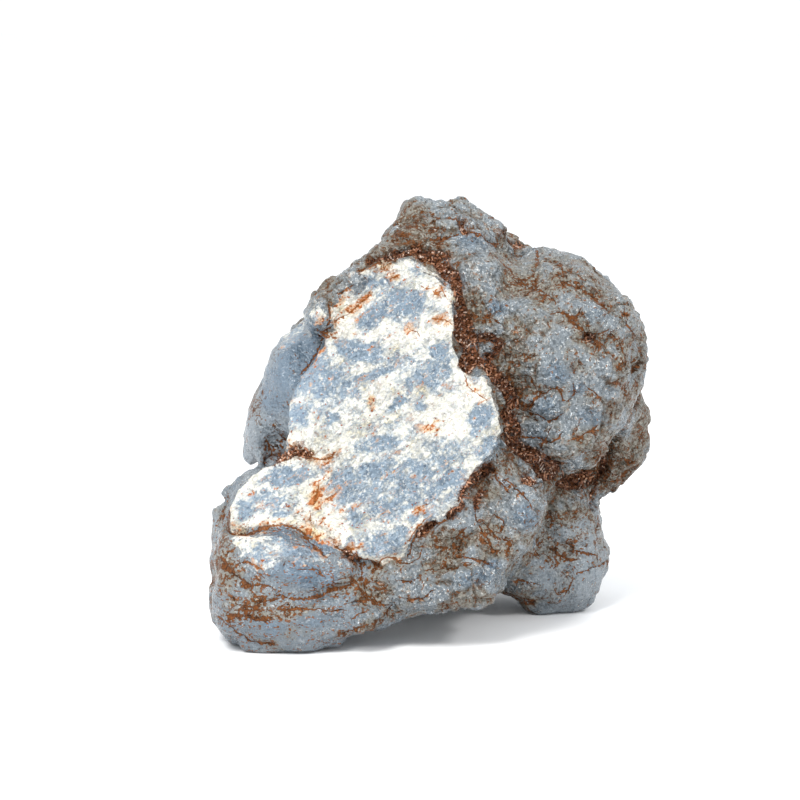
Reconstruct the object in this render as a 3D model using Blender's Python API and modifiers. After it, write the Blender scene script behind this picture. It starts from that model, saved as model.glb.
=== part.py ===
"""A rough nodule of angelite, the massive blue-grey form of anhydrite, with one broken face.

The nodule grew as one piece: a cluster of rounded lobes, close set, with knobs and furrows
over all of its rind. A blow took a slice off its front, which left a broad flat face that
slants back towards the top. It stands on three lobes, a broad foot at the front left and
two smaller ones behind, and the ground between them is open.

Frame: +X right, +Y away from the broken face, +Z up. The origin is under the middle of the
stone, on the surface that it rests on. Sizes below are millimetres, turned to metres by MM.
"""

import math

import bmesh
import bpy
import numpy as np
from mathutils import Euler, Matrix, Vector, noise

MM = 0.001
STONE = "angelite"

# The grain of the work: the lobes are fused on a fine grid, and the finished skin is thinned.
FUSE_GRID = 0.8
SKIN_TRIANGLES = 9400

# Each lobe is a rounded block: its middle, its half sizes, how far its top leans to the
# right in degrees, and how square it is (2 is an ellipsoid, higher is blunter).
LOBES = {
    # the body of the stone, behind the broken face
    "core": ((0.5, 3.5, 35.0), (22.0, 18.0, 24.0), 0, 2.4),
    "under": ((-1.0, -0.5, 12.5), (17.0, 15.0, 8.5), 0, 2.4),
    "rear_high": ((5.0, 14.5, 48.5), (15.0, 12.0, 12.0), 10, 2.3),
    "rear_mid": ((1.0, 13.5, 32.5), (20.0, 13.0, 15.0), 0, 2.4),
    "rear_left": ((-15.0, 10.5, 33.5), (12.0, 12.0, 13.0), 8, 2.3),
    "rear_right": ((21.0, 13.5, 28.5), (10.5, 11.0, 13.0), 0, 2.3),
    "rear_waist": ((-12.0, 10.5, 19.0), (12.5, 10.5, 11.0), -8, 2.2),
    "rear_low": ((1.0, 10.5, 14.5), (20.0, 13.0, 12.5), 0, 2.4),
    "rear_right_low": ((17.0, 13.5, 12.5), (9.5, 9.0, 9.5), 0, 2.3),
    "rear_foot": ((-9.5, 11.5, 7.6), (11.0, 10.0, 8.4), 0, 2.2),
    # the big shoulder at the upper right
    "shoulder": ((19.0, 2.0, 42.0), (11.8, 18.5, 16.6), -8, 2.4),
    "shoulder_top": ((17.5, 4.5, 48.3), (11.4, 15.0, 7.8), 26, 2.3),
    "shoulder_edge": ((27.5, 6.5, 39.3), (5.3, 12.0, 11.8), -4, 2.4),
    "shoulder_corner": ((29.6, 9.5, 41.3), (3.0, 9.0, 8.0), -8, 2.2),
    "shoulder_bud_high": ((22.0, -11.0, 50.0), (4.0, 4.5, 3.4), 10, 2.2),
    "shoulder_bud_right": ((26.5, -8.0, 46.5), (4.2, 4.5, 4.2), 0, 2.2),
    "shoulder_bud_left": ((12.5, -10.5, 41.0), (3.4, 4.5, 3.6), 0, 2.2),
    "shoulder_bud_plate": ((18.0, -11.5, 37.0), (3.6, 4.5, 3.8), 20, 2.6),
    "shoulder_bud_low": ((24.0, -9.0, 34.0), (4.4, 4.5, 4.0), 0, 2.3),
    "shoulder_low": ((20.0, -1.5, 31.0), (9.0, 13.0, 6.2), -10, 2.3),
    # the knuckles that peep out below and behind the shoulder
    "knuckle": ((30.2, 13.5, 26.2), (4.2, 9.0, 7.6), 10, 2.3),
    "knuckle_low": ((26.6, 12.5, 20.6), (3.0, 7.0, 4.8), 35, 2.2),
    "knuckle_in": ((25.3, 11.5, 24.4), (6.0, 8.0, 7.5), 0, 2.3),
    # the foot at the back right
    "right_foot": ((20.2, 5.5, 5.8), (7.8, 8.0, 7.0), 0, 2.5),
    "right_foot_neck": ((21.0, 5.5, 14.5), (5.9, 8.0, 7.4), -8, 2.3),
    "right_foot_heel": ((15.0, 3.5, 7.2), (5.6, 8.0, 5.6), 0, 2.3),
    "right_foot_side": ((25.6, 7.5, 8.2), (2.7, 6.0, 5.6), -10, 2.2),
    # the summit, and the bump between it and the shoulder
    "summit": ((2.6, 4.5, 60.5), (8.2, 10.0, 4.6), 10, 2.2),
    "summit_knob": ((-2.3, 3.5, 63.0), (3.5, 5.0, 2.6), 0, 2.2),
    "summit_right": ((8.0, 7.5, 60.0), (4.6, 7.0, 2.6), 30, 2.2),
    "summit_left": ((-5.5, 0.5, 58.8), (5.0, 8.0, 3.6), -45, 2.2),
    "brow": ((6.4, -4.5, 54.0), (5.7, 9.0, 6.6), 8, 2.2),
    "brow_low": ((8.3, -6.0, 48.0), (4.6, 8.0, 5.0), 0, 2.2),
    "brow_fill": ((4.0, -5.5, 48.5), (5.0, 7.5, 6.5), 0, 2.2),
    "brow_bud": ((9.6, -8.0, 44.5), (2.8, 5.0, 2.6), 0, 2.2),
    "neck": ((-1.0, 2.5, 54.0), (9.5, 10.0, 7.4), 0, 2.2),
    "neck_right": ((1.5, -3.5, 53.5), (6.0, 8.0, 5.5), 0, 2.2),
    "neck_front": ((-3.5, -3.5, 57.9), (8.0, 6.0, 3.6), -10, 2.2),
    # the beads along the upper left edge of the broken face
    "edge_bead_top": ((-8.6, -6.5, 57.4), (3.6, 6.0, 2.6), -30, 2.2),
    "edge_bead_mid": ((-12.4, -8.0, 54.4), (3.6, 6.5, 3.2), -50, 2.2),
    "edge_bead_low": ((-17.4, -8.0, 50.0), (3.2, 6.0, 4.2), 20, 2.2),
    "edge_bead_fill": ((-14.5, -4.0, 50.5), (5.0, 8.0, 5.0), -30, 2.2),
    # the left flank, set back from the broken face
    "flank": ((-22.3, 3.5, 36.9), (5.2, 13.0, 9.8), 20, 2.3),
    "flank_low": ((-27.0, 3.5, 30.6), (4.2, 10.0, 7.0), 12, 2.3),
    "flank_in": ((-19.6, 1.5, 34.5), (7.0, 12.0, 11.0), 10, 2.3),
    # the broad foot at the front left
    "foot": ((-22.6, -14.0, 11.2), (12.6, 11.0, 8.8), 6, 2.4),
    "foot_low": ((-23.4, -16.0, 5.7), (12.2, 10.5, 7.2), 6, 2.5),
    "foot_out": ((-30.6, -11.5, 12.2), (5.0, 8.0, 9.8), 10, 2.3),
    "foot_toe": ((-11.6, -17.4, 6.0), (5.8, 8.0, 4.0), -12, 2.2),
    "foot_top": ((-26.6, -9.5, 21.3), (6.0, 7.0, 6.2), 30, 2.2),
    # the lip of small lobes under the broken face
    "lip": ((0.5, -17.0, 10.4), (9.8, 9.0, 6.0), -6, 2.4),
    "lip_left": ((-5.2, -17.0, 8.6), (5.8, 8.0, 5.0), -6, 2.2),
    "lip_fill": ((-5.5, -17.0, 12.5), (8.5, 8.0, 5.0), -8, 2.3),
    "lip_joint": ((-11.0, -17.0, 12.0), (5.5, 7.8, 5.6), 0, 2.4),
    "lip_crest": ((-2.0, -17.5, 17.5), (6.0, 7.5, 4.8), -20, 2.3),
    "lip_right": ((6.6, -14.5, 11.0), (4.0, 8.0, 5.8), -20, 2.3),
    "lip_high": ((1.5, -16.0, 15.0), (7.0, 8.0, 5.0), -20, 2.3),
    "knob": ((10.8, -14.5, 19.7), (5.5, 8.0, 7.0), 10, 2.4),
    "knob_low": ((6.6, -16.0, 15.9), (5.8, 8.0, 5.8), 30, 2.3),
    "knob_high": ((8.1, -14.5, 25.0), (5.2, 8.0, 6.2), 0, 2.2),
    "knob_fill": ((3.5, -16.0, 20.5), (7.5, 8.5, 5.6), -30, 2.3),
}

# The broken face: a point on it, the way it faces, and its outline across and up it from
# that point, anticlockwise from its top left corner's foot.
FACE_POINT = Vector((-7.0, -18.4, 34.6))
FACE_NORMAL = Vector((-0.28, -0.90, 0.33)).normalized()
FACE_ACROSS = Vector((0.0, 0.0, 1.0)).cross(FACE_NORMAL).normalized()
FACE_UP = FACE_NORMAL.cross(FACE_ACROSS)
FACE_OUTLINE = [
    (-7.3, 21.7), (-3.4, 23.6), (0.9, 24.8), (4.4, 24.0), (7.3, 21.8), (8.5, 18.9),
    (9.6, 15.6), (8.8, 12.7), (10.0, 9.7), (11.3, 7.9), (13.1, 8.5), (15.2, 6.6),
    (17.2, 3.8), (17.2, 0.1), (16.7, -3.8), (14.6, -7.2), (12.9, -10.1), (11.6, -12.5),
    (8.4, -14.2), (5.7, -15.9), (4.8, -17.9), (3.3, -19.9), (0.4, -21.4), (-2.8, -21.2),
    (-7.0, -19.6), (-11.0, -17.4), (-14.7, -16.8), (-19.3, -17.1), (-23.5, -17.5),
    (-24.5, -14.7), (-23.4, -11.7), (-20.8, -7.8), (-17.5, -6.4), (-18.1, -4.9),
    (-17.4, -1.6), (-17.6, 1.7), (-16.2, 5.6), (-14.0, 8.8), (-12.3, 11.8), (-10.2, 13.3),
    (-10.8, 15.4), (-9.4, 17.8),
]

# The slice behind the broken face runs this far into the stone, narrowing to this share.
SLICE_DEPTH = 13.0
SLICE_TAPER = 0.72

# Where the skin counts as broken face: this near its plane, facing this much its way, and
# with its low waves coming in over this width inside the outline.
FACE_THICKNESS = 1.6
FACE_FACING = 0.5
FACE_RIM = 1.0

# Cracks and creases that part the lobes: width, depth, and the route over the skin.
FURROWS = {
    "heel_crack": (1.1, 1.3, [
        (-32.5, -14.5, 19.0), (-28.0, -19.5, 18.5), (-19.5, -20.0, 19.0), (-17.0, -21.0, 18.0),
        (-15.5, -21.5, 15.5), (-11.5, -24.0, 13.5),
    ]),
    "foot_crease": (1.4, 1.0, [
        (-11.5, -24.0, 13.5), (-12.5, -24.5, 11.0), (-15.5, -24.0, 9.5), (-20.5, -25.0, 9.0),
        (-27.5, -24.5, 8.0), (-32.0, -23.5, 5.5),
    ]),
    "toe_crease": (1.4, 1.2, [
        (-11.0, -24.0, 13.5), (-9.5, -23.5, 10.0), (-7.0, -23.5, 8.0), (-6.5, -21.0, 5.5),
    ]),
    "notch": (1.5, 1.6, [
        (-27.5, -6.0, 26.0), (-25.0, -5.0, 27.0), (-22.0, -15.0, 29.5), (-19.5, -16.0, 29.0),
        (-16.0, -18.0, 27.0),
    ]),
    "edge_crack": (1.1, 1.2, [
        (-21.0, -8.0, 40.5), (-19.0, -6.5, 43.5), (-17.5, -8.0, 46.0), (-15.0, -10.5, 47.0),
        (-14.0, -10.5, 49.5), (-12.0, -11.0, 52.0), (-9.5, -10.5, 54.0),
    ]),
    "bead_crack": (0.9, 0.8, [
        (-17.5, -8.0, 46.0), (-16.5, -12.5, 49.0), (-15.5, -11.5, 52.0), (-13.0, -13.0, 54.0),
    ]),
    "crest_crevice": (1.6, 1.2, [
        (-9.0, -11.5, 57.5), (-5.5, -8.5, 58.5), (-2.0, -8.0, 59.0), (0.5, -8.5, 57.0),
        (2.5, -12.0, 54.5), (3.5, -11.0, 51.5), (4.0, -11.5, 49.0),
    ]),
    "wide_crevice": (2.2, 1.5, [
        (4.0, -11.5, 49.0), (4.5, -12.0, 46.0), (6.0, -12.0, 44.0), (8.5, -12.0, 42.0),
        (10.0, -12.0, 39.0), (10.5, -11.5, 35.0), (11.0, -9.5, 31.5),
    ]),
    "deep_crevice": (2.6, 1.6, [
        (11.0, -9.5, 31.5), (14.0, -10.0, 28.5), (17.5, -8.0, 26.5), (22.5, 4.5, 23.0),
        (25.5, 5.5, 22.5),
    ]),
    "brow_crease": (1.3, 1.0, [
        (1.0, -5.5, 60.0), (4.5, -4.0, 61.5), (7.0, -2.5, 60.5), (9.5, -4.5, 58.5),
        (11.5, -7.5, 55.5), (11.0, -10.5, 53.0), (11.0, -12.5, 50.0), (10.0, -13.0, 47.5),
        (7.5, -11.5, 45.0),
    ]),
    "summit_crease": (1.2, 0.9, [
        (0.5, -1.5, 64.0), (4.0, -0.5, 63.0), (7.5, -1.0, 61.0), (11.0, 5.5, 58.5),
    ]),
    "shoulder_crease_high": (1.1, 0.8, [
        (11.5, -9.5, 53.5), (13.0, -10.5, 53.0), (15.5, -13.0, 52.5), (17.5, -12.5, 52.0),
        (19.5, -12.0, 53.0),
    ]),
    "shoulder_crease_right": (1.1, 0.9, [
        (20.5, -10.5, 54.0), (23.0, -10.5, 53.0), (24.0, -12.0, 51.5), (26.5, -12.5, 50.0),
    ]),
    "shoulder_crease_mid": (1.2, 1.0, [
        (18.0, -14.0, 50.5), (20.5, -15.0, 49.5), (22.0, -15.0, 47.5), (23.5, -14.5, 46.0),
    ]),
    "shoulder_crease_low": (1.2, 0.6, [
        (14.0, -14.5, 40.0), (15.0, -14.5, 37.5), (13.5, -13.0, 36.0), (16.0, -14.0, 34.0),
        (19.0, -14.5, 33.5), (19.5, -15.0, 36.5),
    ]),
    "shoulder_crease_base": (1.1, 0.6, [
        (11.0, -9.5, 31.0), (15.5, -11.5, 30.5), (17.5, -13.5, 29.5), (19.0, -14.5, 31.5),
    ]),
    "knob_crease": (1.3, 1.1, [
        (-3.0, -22.5, 19.0), (0.0, -25.0, 21.5), (3.0, -25.0, 22.0), (5.0, -23.5, 20.5),
        (6.5, -22.5, 17.5), (8.0, -23.0, 16.0), (9.5, -23.0, 15.5),
    ]),
    "knob_crease_high": (1.1, 0.8, [
        (6.5, -22.0, 26.0), (8.5, -22.0, 23.5), (9.0, -22.0, 20.0), (10.0, -23.0, 17.5),
    ]),
    "lip_crease": (1.3, 1.1, [
        (-11.5, -24.0, 13.5), (-9.0, -24.0, 13.5), (-6.0, -24.5, 15.0), (-2.5, -22.0, 16.5),
        (1.0, -22.5, 15.5), (5.0, -23.0, 16.0), (8.0, -23.0, 14.0),
    ]),
    "right_foot_edge": (1.2, 0.8, [
        (24.5, 0.5, 15.5), (25.5, 2.0, 11.0), (24.5, 0.5, 9.0), (26.0, 1.0, 7.5),
    ]),
    "right_foot_crease": (1.1, 0.8, [
        (20.5, -0.5, 9.5), (22.5, 0.0, 9.5), (27.0, 4.0, 11.0),
    ]),
}

# The rind's relief: knobs of two sizes, each a rounded cell with furrows round it, over slow
# swells. A cell's height varies by up to its scatter, and calm stretches keep only a share.
KNOB_LARGE = 9.5
KNOB_LARGE_LIFT = 2.9
KNOB_SMALL = 4.6
KNOB_SMALL_LIFT = 1.7
KNOB_ROUNDNESS = 0.2
KNOB_HEIGHT = 0.55
KNOB_SCATTER = 0.45
SWELL_WIDTH = 17.0
SWELL_LIFT = 1.3
CALM_WIDTH = 13.0
CALM_SHARE = 0.45
MEAN_HEIGHT = 1.4

# The knobs are bent out of line on two scales, so that no row of them shows: width and reach.
# The bending noise starts from this seed.
BENDS = [(11.0, 3.2), (4.0, 0.8)]
BEND_SEED = 2

# The broken face's low waves: width and lift.
FACE_WAVES = [(12.0, 0.9), (4.0, 0.4)]

# Each pattern reads the noise from a place of its own.
SMALL_KNOB_PLACE = Vector((31.0, 7.0, 3.0))
CALM_PLACE = Vector((9.0, 2.0, 4.0))
KNOB_HEIGHT_STEP = 7.3

def lobe(bm, middle, half, lean, squareness):
    """Add one rounded block, a sphere whose points are pushed out towards its corners."""
    made = bmesh.ops.create_icosphere(bm, subdivisions=4, radius=1.0)["verts"]
    for vert in made:
        reach = sum(abs(axis) ** squareness for axis in vert.co) ** (1.0 / squareness)
        vert.co /= reach
    place = Matrix.LocRotScale(
        Vector(middle) * MM, Euler((0.0, math.radians(lean), 0.0)), Vector(half) * MM
    )
    bmesh.ops.transform(bm, matrix=place, verts=made)


def slice_behind_face(bm):
    """Add the broken face's outline, drawn back into the stone as a narrowing block."""
    rim = [bm.verts.new((FACE_POINT + FACE_ACROSS * a + FACE_UP * u) * MM) for a, u in FACE_OUTLINE]
    front = bm.faces.new(rim)
    made = bmesh.ops.extrude_face_region(bm, geom=[front])["geom"]
    back = [item for item in made if isinstance(item, bmesh.types.BMVert)]
    for vert in back:
        out = vert.co - FACE_POINT * MM
        vert.co -= out * (1.0 - SLICE_TAPER)
    bmesh.ops.translate(bm, verts=back, vec=-FACE_NORMAL * SLICE_DEPTH * MM)
    faces = {face for vert in rim + back for face in vert.link_faces}
    bmesh.ops.recalc_face_normals(bm, faces=list(faces))


def evaluated_copy(obj):
    """The mesh that an object's modifiers leave, as a mesh of its own."""
    graph = bpy.context.evaluated_depsgraph_get()
    return bpy.data.meshes.new_from_object(obj.evaluated_get(graph))


def fuse(mesh, grid):
    """Make overlapping closed shapes one closed skin, on a grid of the given size."""
    helper = bpy.data.objects.new("fuse", mesh)
    bpy.context.scene.collection.objects.link(helper)
    join = helper.modifiers.new("join", "REMESH")
    join.mode = "VOXEL"
    join.voxel_size = grid * MM
    fused = evaluated_copy(helper)
    bpy.data.objects.remove(helper)
    bpy.data.meshes.remove(mesh)
    return fused


def thin(mesh, triangles):
    """Thin a skin to about the given number of triangles, most of them where it curves."""
    mesh.calc_loop_triangles()
    helper = bpy.data.objects.new("thin", mesh)
    bpy.context.scene.collection.objects.link(helper)
    fewer = helper.modifiers.new("fewer", "DECIMATE")
    fewer.ratio = triangles / len(mesh.loop_triangles)
    thinned = evaluated_copy(helper)
    bpy.data.objects.remove(helper)
    bpy.data.meshes.remove(mesh)
    return thinned


def inside_outline(across, up, outline):
    """Whether points of the face's plane lie inside its outline, by crossings."""
    inside = np.zeros(len(across), bool)
    for (a0, u0), (a1, u1) in zip(outline, outline[1:] + outline[:1]):
        spans = (u0 > up) != (u1 > up)
        edge = a0 + (up - u0) * (a1 - a0) / (u1 - u0 if u1 != u0 else 1.0)
        inside ^= spans & (across < edge)
    return inside


def distance_to_path(points, path):
    """How far each point is from the nearest stretch of a path of straight runs."""
    nearest = np.full(len(points), np.inf)
    for start, end in zip(path, path[1:]):
        start, run = np.array(start), np.array(end) - np.array(start)
        along = np.clip((points - start) @ run / (run @ run), 0.0, 1.0)
        gap = points - start - along[:, None] * run
        nearest = np.minimum(nearest, np.sqrt((gap * gap).sum(axis=1)))
    return nearest


def broken_share(points, normals):
    """1 on the broken face and 0 on the rind, with a soft rim inside the face's outline."""
    offset = points - np.array(FACE_POINT)
    across, up = offset @ np.array(FACE_ACROSS), offset @ np.array(FACE_UP)
    level = np.abs(offset @ np.array(FACE_NORMAL)) < FACE_THICKNESS
    facing = normals @ np.array(FACE_NORMAL) > FACE_FACING
    on_face = level & facing & inside_outline(across, up, FACE_OUTLINE)
    flat = np.column_stack((across, up))
    rim = distance_to_path(flat, FACE_OUTLINE + FACE_OUTLINE[:1])
    return on_face * np.minimum(rim / FACE_RIM, 1.0)


def knobs(point, size, lift):
    """Height of the rounded cells of one size at a point."""
    (nearest, second, *_), seeds = noise.voronoi(point / size)
    height = KNOB_HEIGHT + KNOB_SCATTER * noise.noise(seeds[0] * KNOB_HEIGHT_STEP)
    return lift * height * (1.0 - math.exp((nearest - second) / KNOB_ROUNDNESS))


def rind_height(point):
    """Height of the rind's relief at a point."""
    bent = point.copy()
    for width, reach in BENDS:
        bent += noise.noise_vector(point / width) * reach
    swell = SWELL_LIFT * noise.noise(point / SWELL_WIDTH)
    liveliness = 0.5 + 1.3 * noise.noise(point / CALM_WIDTH + CALM_PLACE)
    share = CALM_SHARE + (1.0 - CALM_SHARE) * min(max(liveliness, 0.0), 1.0)
    large = knobs(bent, KNOB_LARGE, KNOB_LARGE_LIFT)
    small = knobs(bent + SMALL_KNOB_PLACE, KNOB_SMALL, KNOB_SMALL_LIFT)
    return swell + (large + small) * share - MEAN_HEIGHT


def face_height(point):
    """Height of the broken face's own low waves at a point."""
    return sum(lift * noise.noise(point / width) for width, lift in FACE_WAVES)


def carve(mesh):
    """Give the fused skin its knobs, its low waves and its furrows."""
    noise.seed_set(BEND_SEED)
    count = len(mesh.vertices)
    points = np.empty(count * 3)
    mesh.vertices.foreach_get("co", points)
    points = points.reshape(-1, 3) / MM
    normals = np.array([vert.normal for vert in mesh.vertices])
    share = broken_share(points, normals)
    height = np.empty(count)
    for index, point in enumerate(points):
        place = Vector(point)
        height[index] = rind_height(place) * (1.0 - share[index]) + face_height(place) * share[index]
    for width, depth, path in FURROWS.values():
        height -= depth * np.exp(-((distance_to_path(points, path) / width) ** 2))
    moved = (points + normals * height[:, None]) * MM
    mesh.vertices.foreach_set("co", moved.ravel())
    mesh.update()


def joined_to(vert):
    """Every vertex that edges join to this one."""
    found, waiting = {vert}, [vert]
    while waiting:
        for edge in waiting.pop().link_edges:
            for end in edge.verts:
                if end not in found:
                    found.add(end)
                    waiting.append(end)
    return found


def drop_loose_shells(bm):
    """Keep the stone's outer skin alone, without any small shell beside or inside it."""
    left, shells = set(bm.verts), []
    while left:
        shells.append(joined_to(next(iter(left))))
        left -= shells[-1]
    shells.sort(key=len)
    for shell in shells[:-1]:
        bmesh.ops.delete(bm, geom=list(shell), context="VERTS")


def flatten_base(mesh):
    """Cut the skin off level where it meets the ground, and close the flat spots."""
    bm = bmesh.new()
    bm.from_mesh(mesh)
    cut = bmesh.ops.bisect_plane(
        bm,
        geom=bm.verts[:] + bm.edges[:] + bm.faces[:],
        plane_co=(0.0, 0.0, 0.0),
        plane_no=(0.0, 0.0, -1.0),
        clear_outer=True,
    )["geom_cut"]
    edges = [item for item in cut if isinstance(item, bmesh.types.BMEdge)]
    bmesh.ops.holes_fill(bm, edges=edges)
    bmesh.ops.triangulate(bm, faces=bm.faces[:])
    drop_loose_shells(bm)
    bm.to_mesh(mesh)
    bm.free()


def centre_over_origin(mesh):
    """Slide the stone over the ground until the middle of its box is at the origin."""
    for axis in (0, 1):
        places = [vert.co[axis] for vert in mesh.vertices]
        middle = (min(places) + max(places)) / 2.0
        for vert in mesh.vertices:
            vert.co[axis] -= middle
    mesh.update()


def model_stone():
    """The whole nodule: lobes and slice fused, carved, fused again, thinned and set flat."""
    bm = bmesh.new()
    slice_behind_face(bm)
    for middle, half, lean, squareness in LOBES.values():
        lobe(bm, middle, half, lean, squareness)
    mesh = bpy.data.meshes.new(STONE)
    bm.to_mesh(mesh)
    bm.free()
    mesh = fuse(mesh, FUSE_GRID)
    carve(mesh)
    mesh = fuse(mesh, FUSE_GRID)
    mesh = thin(mesh, SKIN_TRIANGLES)
    flatten_base(mesh)
    centre_over_origin(mesh)
    mesh.name = STONE
    return mesh


def anhydrite():
    """The stone's own finish: dull blue-grey, waxy, not metallic."""
    material = bpy.data.materials.new("anhydrite")
    material.use_nodes = True
    shader = material.node_tree.nodes["Principled BSDF"]
    shader.inputs["Base Color"].default_value = (0.30, 0.34, 0.39, 1.0)
    shader.inputs["Roughness"].default_value = 0.45
    shader.inputs["Metallic"].default_value = 0.0
    return material


for old in list(bpy.data.objects):
    bpy.data.objects.remove(old)

collection = bpy.data.collections.new(STONE)
bpy.context.scene.collection.children.link(collection)
skin = model_stone()
skin.shade_smooth()
skin.materials.clear()
skin.materials.append(anhydrite())
stone = bpy.data.objects.new(STONE, skin)
collection.objects.link(stone)
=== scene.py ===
"""A raw angelite nodule: blue-grey anhydrite with a rusty rind and one broken cream face."""

import math

import bmesh
import bpy
import numpy as np
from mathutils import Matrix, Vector, noise
from mathutils.bvhtree import BVHTree


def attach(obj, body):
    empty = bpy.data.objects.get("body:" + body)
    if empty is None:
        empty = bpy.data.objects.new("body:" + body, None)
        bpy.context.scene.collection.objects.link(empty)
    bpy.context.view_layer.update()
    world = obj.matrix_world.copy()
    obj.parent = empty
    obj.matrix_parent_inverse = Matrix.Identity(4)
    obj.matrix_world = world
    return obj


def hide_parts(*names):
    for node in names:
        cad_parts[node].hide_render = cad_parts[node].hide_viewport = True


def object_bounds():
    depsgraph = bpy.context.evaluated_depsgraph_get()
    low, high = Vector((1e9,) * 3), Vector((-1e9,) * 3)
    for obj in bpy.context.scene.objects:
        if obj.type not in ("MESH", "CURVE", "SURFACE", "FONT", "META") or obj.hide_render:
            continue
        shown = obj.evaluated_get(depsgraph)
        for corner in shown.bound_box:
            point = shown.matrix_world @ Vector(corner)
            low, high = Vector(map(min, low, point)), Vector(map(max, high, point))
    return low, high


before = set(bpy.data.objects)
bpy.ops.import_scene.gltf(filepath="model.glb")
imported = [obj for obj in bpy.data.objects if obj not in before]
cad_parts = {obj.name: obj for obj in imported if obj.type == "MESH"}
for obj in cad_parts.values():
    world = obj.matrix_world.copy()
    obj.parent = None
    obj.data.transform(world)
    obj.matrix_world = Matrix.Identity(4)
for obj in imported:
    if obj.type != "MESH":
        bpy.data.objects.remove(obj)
cad_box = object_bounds()

# ---------------------------------------------------------------------------------------
# The camera. It stands about 0.4 m in front of the stone, looks slightly down at it with a
# long lens, and takes a square frame.
# ---------------------------------------------------------------------------------------
MM = 0.001
EYE = Vector((-5.1, -396.0, 97.4))
LOOK_DOWN = math.radians(9.0)
SENSOR = 36.0
LENS = 115.7

camera = bpy.data.objects.new("camera", bpy.data.cameras.new("camera"))
camera.location = EYE * MM
camera.rotation_euler = (math.pi / 2 - LOOK_DOWN, 0.0, 0.0)
camera.data.sensor_width = SENSOR
camera.data.lens = LENS
camera.data.clip_start = 0.01
bpy.context.scene.collection.objects.link(camera)
bpy.context.scene.camera = camera

# ---------------------------------------------------------------------------------------
# The stone. One nodule of fine-grained anhydrite that grew as a cluster of lobes. A thin
# blue-grey rind with earth and rust in its furrows covers all but the broken face in
# front, where the inside shows: cream anhydrite with blue patches, sugary and matt.
# ---------------------------------------------------------------------------------------
SKIN_GRID = 0.36
SKIN_TRIANGLES = 196000
SKIN_SMOOTHING = 14

# The eye sees a spot when a ray that starts just over it is clear, and isn't grazing it. A
# spot that it doesn't see is put far off the sheet that the marks are drawn on.
RAY_START = 0.25
GRAZING = 0.02
HIDDEN = 999.0

# The broken face: a point on it, the way it faces, and its outline across and up it from
# that point, clockwise from its top left corner. A spot is on it when it is near enough to
# its level, in mm, and turned enough its way.
FACE_POINT = np.array((-6.53, -18.88, 34.6))
FACE_NORMAL = Vector((-0.28, -0.90, 0.33)).normalized()
FACE_ACROSS = Vector((0.0, 0.0, 1.0)).cross(FACE_NORMAL).normalized()
FACE_UP = FACE_NORMAL.cross(FACE_ACROSS)
FACE_OUTLINE = [
    (-7.3, 21.7), (-3.4, 23.6), (0.9, 24.8), (4.4, 24.0), (7.3, 21.8), (8.5, 18.9),
    (9.6, 15.6), (8.8, 12.7), (10.0, 9.7), (11.3, 7.9), (13.1, 8.5), (15.2, 6.6),
    (17.2, 3.8), (17.2, 0.1), (16.7, -3.8), (14.6, -7.2), (12.9, -10.1), (11.6, -12.5),
    (8.4, -14.2), (5.7, -15.9), (4.8, -17.9), (3.3, -19.9), (0.4, -21.4), (-2.8, -21.2),
    (-7.0, -19.6), (-11.0, -17.4), (-14.7, -16.8), (-19.3, -17.1), (-23.5, -17.5),
    (-24.5, -14.7), (-23.4, -11.7), (-20.8, -7.8), (-17.5, -6.4), (-18.1, -4.9),
    (-17.4, -1.6), (-17.6, 1.7), (-16.2, 5.6), (-14.0, 8.8), (-12.3, 11.8), (-10.2, 13.3),
    (-10.8, 15.4), (-9.4, 17.8),
]
FACE_THICKNESS = 2.6
FACE_FACING = 0.35

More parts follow.
